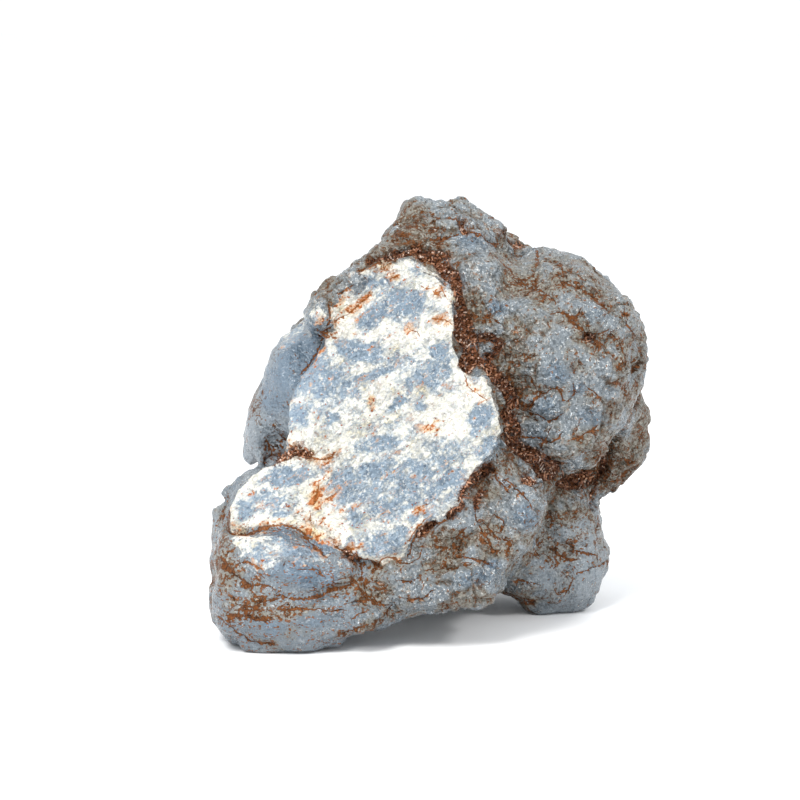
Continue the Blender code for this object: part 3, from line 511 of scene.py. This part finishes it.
# The seam where the shoulder overhangs the knuckle behind it, and the knuckle's own bulge.
SEAM = [
    (37.0, 13.0, 34.0), (33.8, 7.2, 34.2), (32.3, 3.0, 33.2), (30.5, 0.0, 31.8), (29.0, 1.0, 29.6),
    (27.6, 3.9, 26.2), (27.2, 4.8, 24.0), (27.0, 5.2, 21.8), (26.8, 5.0, 19.7), (25.6, 3.0, 17.4),
]
KNUCKLE = (34.0, 14.0, 27.0)
KNUCKLE_REACH = 8.0

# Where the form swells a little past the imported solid's furrows: middle, reach and push.
SWELLS = [
    (KNUCKLE, 9.0, (1.4, 0.0, 0.0)), ((10.6, 4.0, 60.2), 4.5, (0.4, -0.4, 1.1)),
    ((16.8, 4.0, 57.6), 4.5, (0.2, -0.4, 1.0)), ((33.5, 7.0, 44.0), 6.0, (0.8, 0.0, 0.0)),
    ((11.5, -8.0, 51.5), 5.0, (0.5, -1.2, 0.6)), ((-30.4, -8.0, 19.0), 8.0, (-1.4, 0.0, 0.3)),
]
from_seam = np.abs(from_path(points, SEAM))
from_knuckle = np.linalg.norm(points - KNUCKLE, axis=1)

# Where the stone is worn smoother: middle, reach and how much, with the front foot first.
WORN = [
    ((-22.5, -16.0, 8.5), (17.0, 14.0, 16.0), 1.0), ((-25.0, -3.0, 37.0), (10.5, 17.0, 17.0), 1.0),
    ((21.0, 4.0, 8.0), (9.0, 9.5, 10.5), 0.75),
]
worn_spots = [
    much * step(np.linalg.norm((points - middle) / reach, axis=1), 1.2, 0.8)
    for middle, reach, much in WORN
]
foot = worn_spots[0]
worn = np.max(worn_spots, axis=0)

# The drawn marks, and where the broken face lies. A line fades out over its reach, in mm.
EARTH_REACH = 1.6
LEDGE_REACH = 0.5
CREASE_REACH = 1.4
FILLED_REACH = 2.5
face = into_face(points, normals)
broken = step(face, -0.2, 0.5)
rind = 1.0 - broken
blue = patch_field(sheet, BLUE_PATCHES)
pale = patch_field(sheet, PALE_PATCHES)
stain = patch_field(sheet, ORANGE_STAINS)
dust = patch_field(sheet, EARTH_DUSTING)
dust = np.maximum(dust, 0.9 * step(from_knuckle, KNUCKLE_REACH + 4.0, KNUCKLE_REACH - 2.0))
earth = line_field(sheet, EARTH_FILLS, EARTH_REACH)
earth = np.maximum(earth, 0.92 * step(hollow, 0.75, 1.5) * rind)
earth = np.maximum(earth, np.clip(1.25 - from_seam / EARTH_REACH, 0.0, 1.0))
ledge = line_field(sheet, LEDGES, LEDGE_REACH)
crease = line_field(sheet, CREASES, CREASE_REACH)
filled = line_field(sheet, FILLED_FURROWS, FILLED_REACH)
earth *= 1.0 - 0.9 * filled

# Rust cracks: a signed distance that a line stays sharp in, and how near the crack is.
STANDARD_CRACK = 0.25
crack = np.full(len(points), 9.0)
crack_near = np.zeros(len(points))
for half_width, route in RUST_CRACKS:
    distance = from_path(sheet, route)
    beside = np.abs(distance) - half_width
    closer = np.abs(distance) * STANDARD_CRACK / half_width < np.abs(crack)
    crack[closer] = (distance * STANDARD_CRACK / half_width)[closer]
    crack_near = np.maximum(crack_near, np.clip((1.2 - beside) / 0.9, 0.0, 1.0))
crack = np.clip(crack, -1.5, 1.5)

# The rind's relief: knobs and beads, which are cells with bent walls, and tilted plates
# with a sharp edge each. The two feet and the left flank are worn smoother than the rest.
KNOB = 4.4
BEAD = 1.8
PLATE = 3.4
WALL_BEND = 0.8
WALL_BEND_SIZE = 4.0
KNOB_LIFT = 1.1
BEAD_LIFT = 0.44
PLATE_LIFT = 0.6
sways = [rolling(points, WALL_BEND_SIZE, seed) for seed in (1, 2, 3)]
bent = points + WALL_BEND * np.column_stack(sways)
knob_walls, knob_heights, _ = cells(bent, KNOB, 4)
bead_walls, bead_heights, _ = cells(bent, BEAD, 5)
_, plate_heights, plate_tilts = cells(bent, PLATE, 12)
rough = (0.35 + 0.65 * step(rolling(points, 8.0, 6), -0.3, 0.3)) * (1.0 - 0.8 * worn)
knobs = KNOB_LIFT * (0.6 + 0.8 * knob_heights) * (1.0 - np.exp(-knob_walls / 0.2))
beads = BEAD_LIFT * (0.7 + 1.0 * bead_heights) * (1.0 - np.exp(-bead_walls / 0.25))
plates = PLATE_LIFT * (0.5 * plate_heights + plate_tilts)
fine = rolling(points, 1.1, 7)
finer = rolling(points, 0.7, 13)
rind_height = rough * (knobs + beads + plates) + (0.12 * fine + 0.09 * finer) * (1.0 - 0.8 * worn)
valley = rough * np.maximum(np.exp(-knob_walls / 0.1), 0.8 * np.exp(-bead_walls / 0.1))

# Crumbly earth stands low in the furrows, and creases, the seam and cracks cut into the rind.
CREASE_DEPTH = 0.7
SEAM_DEPTH = 1.5
SEAM_WIDTH = 1.2
CRACK_DEPTH = 0.3
CRACK_WIDTH = 0.4
LEDGE_LIFT = 0.5
crust = 0.5 * rolling(points, 1.3, 8) + 0.36 * rolling(points, 0.75, 9) - 0.75
earth_share = step(earth, 0.7, 0.95)
rind_height += (crust - rind_height) * earth_share
rind_height += filled * np.clip(hollow, 0.0, 2.0)
rind_height -= CREASE_DEPTH * crease * crease
rind_height -= SEAM_DEPTH * np.exp(-((from_seam / SEAM_WIDTH) ** 2))
cut = CRACK_DEPTH * np.exp(-((np.abs(crack) / CRACK_WIDTH) ** 2)) * crack_near
cut *= step(fine, -0.3, 0.2)
cut *= 1.0 - 0.8 * broken
rind_height += LEDGE_LIFT * ledge * (1.0 - earth_share)

# The broken face is hackly: small steps and ridges, and lower, smoother blue patches.
FACE_LIFT = 0.35
FACE_STEP = 4.5
BLUE_DEPTH = 0.14
_, step_heights, step_tilts = cells(bent, FACE_STEP, 14)
hackle = 0.30 * rolling(points, 3.0, 10) - 0.32 * np.abs(rolling(points, 1.6, 11)) + 0.14 * fine
hackle += 0.22 * (0.5 * step_heights + step_tilts)
hackle += 0.16 * rolling(points * (1.0, 1.0, 2.4), 2.4, 15)
face_height = FACE_LIFT + hackle + 0.8 * filled * np.clip(hollow, 0.0, 2.0)
face_height -= BLUE_DEPTH * step(blue, 0.35, 0.65)

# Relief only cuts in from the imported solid's box, and dies out above the resting spots.
SUNK = 0.55
REST_FADE = 1.5
height = rind_height * rind + face_height * broken - cut - SUNK
height *= step(points[:, 2], 0.1, REST_FADE)
points += normals * height[:, None]
for middle, reach, push in SWELLS:
    share = step(np.linalg.norm(points - middle, axis=1), reach, 0.0)
    points += share[:, None] * push
lowest, highest = (np.array(corner) / MM for corner in cad_box)
points = np.clip(points, lowest, highest)
stone.data.vertices.foreach_set("co", (points * MM).astype(np.float32).ravel())

# What the colours follow, kept on the vertices. The rind is darker low down: painted shade near the
# floor.
painted_low_shade = step(points[:, 2], 20.0, 5.0)
FIELDS = {
    "face": face, "blue": blue, "pale": pale, "stain": stain, "dust": dust, "earth": earth,
    "crack": crack, "crack_near": crack_near, "hollow": hollow, "valley": valley, "foot": foot,
    "worn": worn, "painted_low_shade": painted_low_shade,
}
for name, values in FIELDS.items():
    field = stone.data.attributes.new(name, "FLOAT", "POINT")
    field.data.foreach_set("value", values.astype(np.float32))

thin = stone.modifiers.new("thin", "DECIMATE")
thin.ratio = min(1.0, SKIN_TRIANGLES / (2.0 * len(stone.data.polygons)))
settle(stone)

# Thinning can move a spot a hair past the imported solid's box, so the skin is held to it again.
thinned = np.clip(vertex_values(stone.data, "co") / MM, lowest, highest)
stone.data.vertices.foreach_set("co", (thinned * MM).astype(np.float32).ravel())
stone.data.shade_smooth()


def linear(hex_colour):
    """The linear colour of an sRGB hex value."""
    shares = [int(hex_colour[i : i + 2], 16) / 255 for i in (1, 3, 5)]
    return [c / 12.92 if c <= 0.04045 else ((c + 0.055) / 1.055) ** 2.4 for c in shares] + [1.0]


def add(tree, kind, inputs, **settings):
    """Add a node: its settings, a value or another node's output on each input. Its output."""
    node = tree.nodes.new("ShaderNode" + kind)
    for name, value in settings.items():
        setattr(node, name, value)
    for key, value in inputs.items():
        named = [s for s in node.inputs if s.enabled and s.name == key]
        socket = named[0] if named else node.inputs[key]
        if isinstance(value, bpy.types.NodeSocket):
            tree.links.new(value, socket)
        else:
            socket.default_value = value
    return next((s for s in node.outputs if s.enabled), node)


# Anhydrite, with its rind and its broken face. The rind is fine-grained and a little waxy,
# so it shines in small glints, and more glints are painted into its colour as white flecks;
# the broken face is sugary and almost matt; the earth in the furrows is crumbly iron oxide and
# clay.
anhydrite = bpy.data.materials.new("anhydrite rind and broken face")
anhydrite.use_nodes = True
tree = anhydrite.node_tree
shader = tree.nodes["Principled BSDF"]
place = add(tree, "TexCoord", {}).node.outputs["Object"]
in_mm = add(tree, "VectorMath", {"Vector": place, "Scale": 1 / MM}, operation="SCALE")

# What the patterns are mixed from: the vertices' own fields, and noise of many widths, in mm,
# each brought to about -1 to 1. The foot's noise is drawn out level, as its bands are, and
# the broken face's fibres run at a slant.
value = {}
for name in FIELDS:
    value[name] = add(tree, "Attribute", {}, attribute_name=name).node.outputs["Fac"]
BAND_SQUASH = (0.36, 0.36, 1.35)
FIBRE_SLANT = (0.0, -0.65, 0.0)
FIBRE_STRETCH = (2.6, 1.0, 0.8)
level = add(tree, "VectorMath", {0: in_mm, 1: BAND_SQUASH}, operation="MULTIPLY")
slant = add(
    tree, "Mapping", {"Vector": in_mm, "Rotation": FIBRE_SLANT, "Scale": FIBRE_STRETCH},
    vector_type="TEXTURE",
)
GRAINS = {
    "cloud": (in_mm, 9.0, 2.0), "bank": (in_mm, 4.5, 2.0), "blotch": (in_mm, 2.4, 2.5),
    "patch": (in_mm, 1.3, 2.5), "grain": (in_mm, 0.7, 2.0), "fleck": (in_mm, 0.4, 1.0),
    "sugar": (in_mm, 0.22, 0.0), "vein_noise": (in_mm, 3.1, 3.5), "branch_noise": (in_mm, 1.5, 2.5),
    "band_noise": (level, 1.6, 3.5), "fibre": (slant, 1.0, 3.0), "streak": (slant, 2.2, 3.0),
}
for name, (where, size, detail) in GRAINS.items():
    noisy = add(
        tree, "TexNoise",
        {"Vector": where, "Scale": 1 / size, "Detail": detail, "Roughness": 0.62},
    )
    value[name] = add(
        tree, "MapRange", {"Value": noisy, "From Min": 0.25, "From Max": 0.75, "To Min": -1.0},
        clamp=False,
    )

# Rust lines run where a noise crosses its middle, so a gap of 0 is the middle of a line.
for name in ("vein", "branch", "band"):
    value[name + "_gap"] = add(tree, "Math", {0: value[name + "_noise"]}, operation="ABSOLUTE")
swayed = value["crack"]
for name, sway in (("patch", 0.22), ("grain", 0.16)):
    swayed = add(tree, "Math", {0: value[name], 1: sway, 2: swayed}, operation="MULTIPLY_ADD")
value["crack_gap"] = add(tree, "Math", {0: swayed}, operation="ABSOLUTE")

# Pebbles: the rind's smallest rounded grains, with pits between them.
PEBBLE = 1.5
PEBBLE_SWAY = 1.6
PEBBLE_BEND = (1.5, 1.5, 1.5)
swell = add(tree, "TexNoise", {"Vector": in_mm, "Scale": 1 / PEBBLE_SWAY, "Detail": 2.0}).node
bent_place = add(
    tree, "VectorMath", {0: swell.outputs["Color"], 1: PEBBLE_BEND, 2: in_mm},
    operation="MULTIPLY_ADD",
)
value["pebble"] = add(
    tree, "TexVoronoi", {"Vector": bent_place, "Scale": 1 / PEBBLE, "Smoothness": 0.5},
    feature="SMOOTH_F1",
)

# Crystal facets, each a small plane that leans its own way and catches the light whole. The
# real grains are finer: these are as coarse as they need to be to show. Their tilt also
# places the painted glints, white flecks in the colour.
FACET = 0.36
FACET_LEAN = (0.5, 0.5, 0.5)
facets = add(tree, "TexVoronoi", {"Vector": in_mm, "Scale": 1 / FACET}).node
from_middle = add(
    tree, "VectorMath", {0: in_mm, 1: facets.outputs["Position"]}, operation="SUBTRACT"
)
lean = add(
    tree, "VectorMath", {0: facets.outputs["Color"], 1: FACET_LEAN}, operation="SUBTRACT"
)
tilt = add(tree, "VectorMath", {0: from_middle, 1: lean}, operation="DOT_PRODUCT").node
value["facet"] = tilt.outputs["Value"]

# Each pattern is a soft step: 0 where the sum of its parts is below the first number, and 1
# above the second. Later ones build on earlier ones.
PATTERNS = {
    # the rind
    "film": ({"cloud": 0.6, "bank": 0.6, "blotch": 0.5, "patch": 0.4, "dust": 0.9,
              "hollow": 0.4, "valley": 0.6, "crack_near": 0.3, "blue": -0.8,
              "worn": -0.4}, -0.4, 1.0),
    "rusty": ({"bank": 0.5, "blotch": 0.5, "patch": 0.5, "dust": 0.65, "valley": 0.7,
               "hollow": 0.3, "crack_near": 0.4, "blue": -0.4}, -0.1, 1.5),
    "vein": ({"vein_gap": -1.0, "rusty": 0.19, "patch": 0.10, "grain": 0.09,
              "fleck": 0.08}, 0.05, 0.08),
    "branch": ({"branch_gap": -1.0, "rusty": 0.24, "blotch": 0.12, "grain": 0.08,
                "fleck": 0.08}, 0.11, 0.14),
    "band": ({"band_gap": -1.0, "foot": 0.2, "dust": 0.07, "rusty": 0.08, "grain": 0.16,
              "fleck": 0.18}, 0.18, 0.23),
    "speck": ({"fleck": 0.8, "grain": 0.5, "patch": 0.3, "film": 0.5, "dust": 0.3,
               "facet": -1.0, "worn": -0.1}, 0.5, 0.75),
    "waxy": ({"worn": 1.0, "foot": -1.0, "cloud": 0.2, "bank": 0.3, "blotch": 0.3,
              "patch": 0.2}, 0.6, 1.4),
    "blue_rind": ({"blue": 1.2, "blotch": 0.4, "patch": 0.3, "grain": 0.15}, 0.3, 1.0),
    # Dark brown in the valleys between knobs: partly dirt, partly painted shade.
    "valley_dirt_and_shade": ({"valley": 1.0, "bank": 0.25, "patch": 0.3, "grain": 0.2,
                "worn": -0.5}, 0.35, 0.85),
    "pit": ({"grain": 0.8, "patch": 0.5, "rusty": 0.4, "pebble": 0.3}, 0.95, 1.1),
    "rust_light": ({"grain": 0.5, "fleck": 0.6, "patch": 0.3}, 0.0, 0.5),
    "rust_dark": ({"grain": -0.5, "fleck": -0.6, "patch": 0.5}, 0.0, 0.5),
    # deep and light also carry painted shade: low down the rind is darker and has fewer light
    # patches.
    "deep": ({"bank": 0.4, "patch": 0.5, "grain": 0.4, "sugar": 0.2, "blue": 0.9, "foot": 0.5,
              "painted_low_shade": 0.5, "worn": -0.3}, -0.1, 0.8),
    "light": ({"blotch": 0.5, "patch": 0.6, "grain": 0.6, "sugar": 0.3, "film": -0.5,
               "painted_low_shade": -0.2}, 0.1, 0.8),
    # white is painted glints: near-white flecks laid by the facets' tilt, fewer in hollows and on
    # worn parts.
    "white": ({"fleck": 0.9, "patch": 0.5, "grain": 0.4, "facet": 2.0, "worn": -0.5,
               "hollow": -0.2}, 0.40, 0.65),
    "crack_line": ({"crack_gap": -1.0, "crack_near": 0.7, "blotch": 0.10, "patch": 0.12,
                    "grain": 0.15, "fleck": 0.13}, 0.46, 0.52),
    # the broken face
    "broken": ({"face": 1.0, "patch": 0.3, "grain": 0.25}, -0.1, 0.15),
    "broken_rough": ({"bank": 0.5, "blotch": 0.5, "blue": -0.4}, -0.6, 0.5),
    "pale_spot": ({"pale": 1.0, "blotch": 0.3, "patch": 0.35, "grain": 0.3}, 0.35, 0.65),
    "blue_spot": ({"blue": 1.3, "blotch": 0.45, "streak": 0.4, "patch": 0.35, "fibre": 0.3,
                   "grain": 0.22, "fleck": 0.16}, 0.12, 0.85),
    "veil": ({"blue": 0.9, "bank": 0.6, "streak": 0.6, "fibre": 0.6, "grain": 0.4,
              "fleck": 0.3}, -0.2, 1.0),
    "slate": ({"fibre": -0.8, "patch": 0.5, "grain": 0.5, "fleck": 0.3}, -0.1, 0.7),
    "milk": ({"streak": 0.5, "patch": 0.7, "fibre": 0.5, "grain": 0.4}, 0.35, 0.95),
    "warm": ({"bank": 0.7, "streak": 0.5, "patch": 0.4, "stain": 0.6}, 0.1, 0.8),
    "chalk": ({"fibre": 0.6, "grain": 0.5, "fleck": 0.5}, -0.1, 0.7),
    "dull": ({"fibre": -0.7, "patch": -0.5, "grain": 0.3}, 0.3, 1.0),
    "peach": ({"stain": 1.0, "crack_near": 0.5, "blotch": 0.4, "fibre": 0.7,
               "grain": 0.4}, 0.2, 1.0),
    "orange": ({"stain": 0.75, "crack_near": 0.35, "fibre": 0.7, "grain": 0.6,
                "fleck": 0.5}, 0.7, 0.95),
    "red_speck": ({"fleck": 0.8, "grain": 0.4, "bank": 0.35, "stain": 0.5}, 0.82, 0.95),
    # the earth
    "soil": ({"earth": 1.0, "patch": 0.25, "grain": 0.25, "blotch": 0.12,
              "fleck": 0.1}, 0.84, 0.92),
    # Painted shade: near black in the deepest hollows and furrows.
    "painted_hollow_shade": ({"hollow": 1.0, "earth": 0.5, "patch": 0.3, "grain": 0.3}, 1.9, 3.2),
    "soil_stain": ({"earth": 1.0, "patch": 0.3, "grain": 0.3, "blotch": 0.3,
                    "fleck": 0.2}, 0.45, 0.9),
    "soil_light": ({"grain": 0.5, "fleck": 0.8, "sugar": 0.4}, 0.1, 0.5),
    "soil_dark": ({"patch": 0.6, "grain": 0.6, "fleck": -0.3}, 0.0, 0.5),
}
for name, (parts, low, high) in PATTERNS.items():
    total = 0.0
    for part, share in parts.items():
        total = add(tree, "Math", {0: value[part], 1: share, 2: total}, operation="MULTIPLY_ADD")
    value[name] = add(
        tree, "MapRange", {"Value": total, "From Min": low, "From Max": high},
        interpolation_type="SMOOTHSTEP",
    )
value["inside"] = add(
    tree, "Math", {0: value["broken"], 1: value["pale_spot"]}, operation="MAXIMUM"
)

# Colours, each laid over the last: the colour or coat, how much it covers, and where.
COATS = {
    "rust": ("#603A1F", [
        ("#7E4D29", 0.7, "rust_light"),
        ("#3A2010", 0.75, "rust_dark"),
    ]),
    "rind": ("#7B8389", [
        # deep darkens the rind: its own darker tone, and painted shade low down.
        ("#59656F", 0.75, "deep"),
        ("#A6ABAC", 0.85, "light"),
        ("#81765F", 0.62, "film"),
        # Painted glints: near-white flecks on the rind.
        ("#D6D9D7", 0.8, "white"),
        ("#818D99", 0.55, "waxy"),
        ("#586C7E", 0.75, "blue_rind"),
        # The valleys between knobs: partly dirt, partly painted shade.
        ("#453A2E", 0.6, "valley_dirt_and_shade"),
        ("#553B25", 0.7, "speck"),
        ("rust", 0.92, "vein"),
        ("rust", 0.92, "branch"),
        ("rust", 0.88, "band"),
        ("#33200F", 0.9, "pit"),
        ("rust", 0.95, "crack_line"),
    ]),
    "blue": ("#76899A", [
        ("#4F657C", 0.8, "slate"),
        ("#96A5B2", 0.7, "light"),
        ("#CDD0CC", 0.75, "milk"),
        # Painted glints on the blue patches.
        ("#D2D6D6", 0.6, "white"),
    ]),
    "inside": ("#DBD9CF", [
        ("#CEBB86", 0.66, "warm"),
        ("#DBDBD6", 0.7, "chalk"),
        ("#A9ABA2", 0.25, "dull"),
        ("blue", 0.55, "veil"),
        ("blue", 0.94, "blue_spot"),
        ("#CC9A6A", 0.7, "peach"),
        ("#A85F2A", 0.88, "orange"),
        ("#8A4516", 0.9, "red_speck"),
        ("#8F5526", 0.9, "crack_line"),
    ]),
    "earth": ("#5E3821", [
        ("#27150C", 0.85, "soil_dark"),
        ("#A06D4E", 0.75, "soil_light"),
    ]),
    "stone": ("rind", [
        ("inside", 1.0, "inside"),
        ("#6A4426", 0.6, "soil_stain"),
        ("earth", 1.0, "soil"),
        # Painted shade darkens the deepest hollows nearly to black.
        ("#120A06", 0.75, "painted_hollow_shade"),
    ]),
}
coat = {}
for name, (ground, layers) in COATS.items():
    colour = coat[ground] if ground in coat else linear(ground)
    for over, cover, where in layers:
        top = coat[over] if over in coat else linear(over)
        share = add(tree, "Math", {0: value[where], 1: cover}, operation="MULTIPLY")
        colour = add(tree, "Mix", {"Factor": share, "A": colour, "B": top}, data_type="RGBA")
    coat[name] = colour
tree.links.new(coat["stone"], shader.inputs["Base Color"])

# The rind shines in small glints where the face and the earth stay dull.
BARE_RIND_ROUGHNESS = (0.06, 0.32)
ROUGHNESS = {"film": 0.36, "inside": 0.42, "soil": 0.5}
roughness = add(tree, "MapRange", {
    "Value": value["grain"], "From Min": -1.0,
    "To Min": BARE_RIND_ROUGHNESS[0], "To Max": BARE_RIND_ROUGHNESS[1],
})
for name, rough_there in ROUGHNESS.items():
    roughness = add(
        tree, "Mix", {"Factor": value[name], "A": roughness, "B": rough_there},
        data_type="FLOAT",
    )
tree.links.new(roughness, shader.inputs["Roughness"])

# Rust and earth are porous and hardly shine.
RUSTED = (
    "vein", "branch", "band", "speck", "pit", "crack_line", "soil", "soil_stain", "orange",
)
rusted = 0.0
for name in RUSTED:
    rusted = add(tree, "Math", {0: value[name], 1: rusted}, operation="MAXIMUM")
shine = add(tree, "MapRange", {"Value": rusted, "To Min": 0.5, "To Max": 0.1})
tree.links.new(shine, shader.inputs["Specular IOR Level"])
shader.inputs["IOR"].default_value = 1.57
shader.inputs["Subsurface Weight"].default_value = 0.08
shader.inputs["Subsurface Radius"].default_value = (0.9, 1.0, 1.2)
shader.inputs["Subsurface Scale"].default_value = MM

# The smallest relief, in mm: pebbles, grain, flecks and facets, the earth's crumbs and the face's
# fibres, with the veins and cracks cut in.
crumbly = add(
    tree, "Math", {0: value["grain"], 1: 0.7, 2: value["fleck"]}, operation="MULTIPLY_ADD"
)
crystalline = add(tree, "MapRange", {"Value": value["worn"], "To Min": 1.1, "To Max": 0.4})
fibrous = add(tree, "Math", {0: value["fibre"], 1: value["inside"]}, operation="MULTIPLY")
for name, height, share in (
    ("facet", value["facet"], crystalline), ("crumbs", crumbly, value["soil"]),
    ("hackle", fibrous, value["broken_rough"]),
):
    value[name] = add(tree, "Math", {0: height, 1: share}, operation="MULTIPLY")
RELIEF = {
    "pebble": -0.20, "patch": 0.10, "grain": 0.07, "fleck": 0.05, "facet": 2.1, "crumbs": 0.22,
    "hackle": 0.42,
    "vein": -0.07, "branch": -0.05, "crack_line": -0.12, "pit": -0.12,
}
relief = 0.0
for part, share in RELIEF.items():
    relief = add(tree, "Math", {0: value[part], 1: share, 2: relief}, operation="MULTIPLY_ADD")
bump = add(tree, "Bump", {"Height": relief, "Strength": 1.0, "Distance": 1.0 * MM})
tree.links.new(bump, shader.inputs["Normal"])

stone.data.materials.clear()
stone.data.materials.append(anhydrite)
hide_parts("angelite")
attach(stone, "root")

# ---------------------------------------------------------------------------------------
# The earth crumbs. Dried red-brown earth, iron oxide and clay, stands loose in the furrows
# as crumbs and short stiff threads, and the broken grains catch the light one by one.
# ---------------------------------------------------------------------------------------
# Radii, and how far a crumb's middle stands out of the stone, are in mm.
CRUMBS = 3600
CRUMB_SIZES = (0.10, 0.26)
CRUMB_STAND = 0.08
LUMPINESS = (0.75, 1.25)
THREADS = 0.35
THREAD_STRETCH = (2.5, 5.0)

# Crumbs lie where there is earth enough, and clear of the floor.
EARTHY = 0.88
CLEAR_OF_FLOOR = 1.0

within = np.zeros(len(stone.data.vertices), np.float32)
stone.data.attributes["earth"].data.foreach_get("value", within)
skin_places = vertex_values(stone.data, "co") / MM
skin_normals = vertex_values(stone.data, "normal")
dice = np.random.default_rng(11)
in_furrows = (within > EARTHY) & (skin_places[:, 2] > CLEAR_OF_FLOOR)
chosen = dice.choice(np.flatnonzero(in_furrows), CRUMBS)

bm = bmesh.new()
bmesh.ops.create_icosphere(bm, subdivisions=1, radius=1.0)
crumb_mesh = bpy.data.meshes.new("earth_crumbs")
bm.to_mesh(crumb_mesh)
bm.free()
crumbs = bpy.data.objects.new("earth_crumbs", crumb_mesh)
bpy.context.scene.collection.objects.link(crumbs)
many = crumbs.modifiers.new("many", "ARRAY")
many.count = CRUMBS
many.use_relative_offset = False
settle(crumbs)

# Each crumb is stretched, turned and lumpy in its own way, and stands half in the earth.
corners = vertex_values(crumbs.data, "co").reshape(CRUMBS, -1, 3)
sizes = dice.uniform(*CRUMB_SIZES, (CRUMBS, 1, 3))
stretch = np.where(dice.random(CRUMBS) < THREADS, dice.uniform(*THREAD_STRETCH, CRUMBS), 1.0)
sizes *= np.stack([stretch**-0.3, stretch**-0.3, stretch], axis=1)[:, None, :]
corners = corners * sizes * dice.uniform(*LUMPINESS, corners.shape)
turns, _ = np.linalg.qr(dice.normal(size=(CRUMBS, 3, 3)))
corners = np.einsum("nij,nkj->nki", turns, corners)
corners += (skin_places + CRUMB_STAND * skin_normals)[chosen][:, None, :]
corners = np.clip(corners.reshape(-1, 3), lowest, highest)
crumbs.data.vertices.foreach_set("co", (corners * MM).astype(np.float32).ravel())
shades = np.repeat(dice.random(CRUMBS), len(corners) // CRUMBS)
shade = crumbs.data.attributes.new("shade", "FLOAT", "POINT")
shade.data.foreach_set("value", shades.astype(np.float32))
crumbs.data.shade_flat()

# Dried earth: matt red-brown with a little gloss; its palest crumbs are painted glints.
dried = bpy.data.materials.new("dried red-brown earth")
dried.use_nodes = True
tree = dried.node_tree
shader = tree.nodes["Principled BSDF"]
one = add(tree, "Attribute", {}, attribute_name="shade").node.outputs["Fac"]
ramp = add(tree, "ValToRGB", {"Fac": one}).node
stops = ramp.color_ramp.elements
stops[0].color, stops[1].color = linear("#2A160C"), linear("#DCC8BA")
for at, hex_colour in ((0.35, "#593420"), (0.65, "#88573C"), (0.88, "#B4876A")):
    stops.new(at).color = linear(hex_colour)
tree.links.new(ramp.outputs["Color"], shader.inputs["Base Color"])
shader.inputs["Roughness"].default_value = 0.30
shader.inputs["Specular IOR Level"].default_value = 0.4
crumbs.data.materials.clear()
crumbs.data.materials.append(dried)
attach(crumbs, "root")

# ---------------------------------------------------------------------------------------
# The floor and the light: a white table under a bright, even studio sky, with a large
# soft lamp above to the left of the eye and a smaller, weaker one to the right.
# ---------------------------------------------------------------------------------------
FLOOR_RADIUS = 6.0
SKY_COLOUR = (0.965, 0.985, 1.0, 1.0)
SKY_STRENGTH = 1.1

bm = bmesh.new()
bmesh.ops.create_circle(bm, cap_ends=True, segments=96, radius=FLOOR_RADIUS)
floor_mesh = bpy.data.meshes.new("floor")
bm.to_mesh(floor_mesh)
bm.free()
floor = bpy.data.objects.new("floor", floor_mesh)
bpy.context.scene.collection.objects.link(floor)
paper = bpy.data.materials.new("matt white paper")
paper.use_nodes = True
paper.node_tree.nodes["Principled BSDF"].inputs["Base Color"].default_value = linear("#F8F9FB")
paper.node_tree.nodes["Principled BSDF"].inputs["Roughness"].default_value = 0.9
floor_mesh.materials.append(paper)

sky = bpy.data.worlds.new("studio")
sky.use_nodes = True
sky.node_tree.nodes["Background"].inputs["Color"].default_value = SKY_COLOUR
sky.node_tree.nodes["Background"].inputs["Strength"].default_value = SKY_STRENGTH
bpy.context.scene.world = sky

# Each lamp: its place in metres, its width, its power in watts and its colour.
LAMPS = {
    "key": ((-0.26, -0.56, 0.68), 0.25, 6.9, (1.0, 0.98, 0.95)),
    "side": ((0.50, -0.42, 0.56), 0.13, 2.2, (1.0, 0.99, 0.97)),
}
MIDDLE = Vector((0.0, 0.0, 0.035))
for name, (spot, size, power, colour) in LAMPS.items():
    lamp = bpy.data.objects.new(name, bpy.data.lights.new(name, "AREA"))
    lamp.location = spot
    lamp.rotation_euler = (MIDDLE - Vector(spot)).to_track_quat("-Z", "Y").to_euler()
    lamp.data.size = size
    lamp.data.energy = power
    lamp.data.color = colour
    bpy.context.scene.collection.objects.link(lamp)
bpy.context.scene.view_settings.view_transform = "Standard"
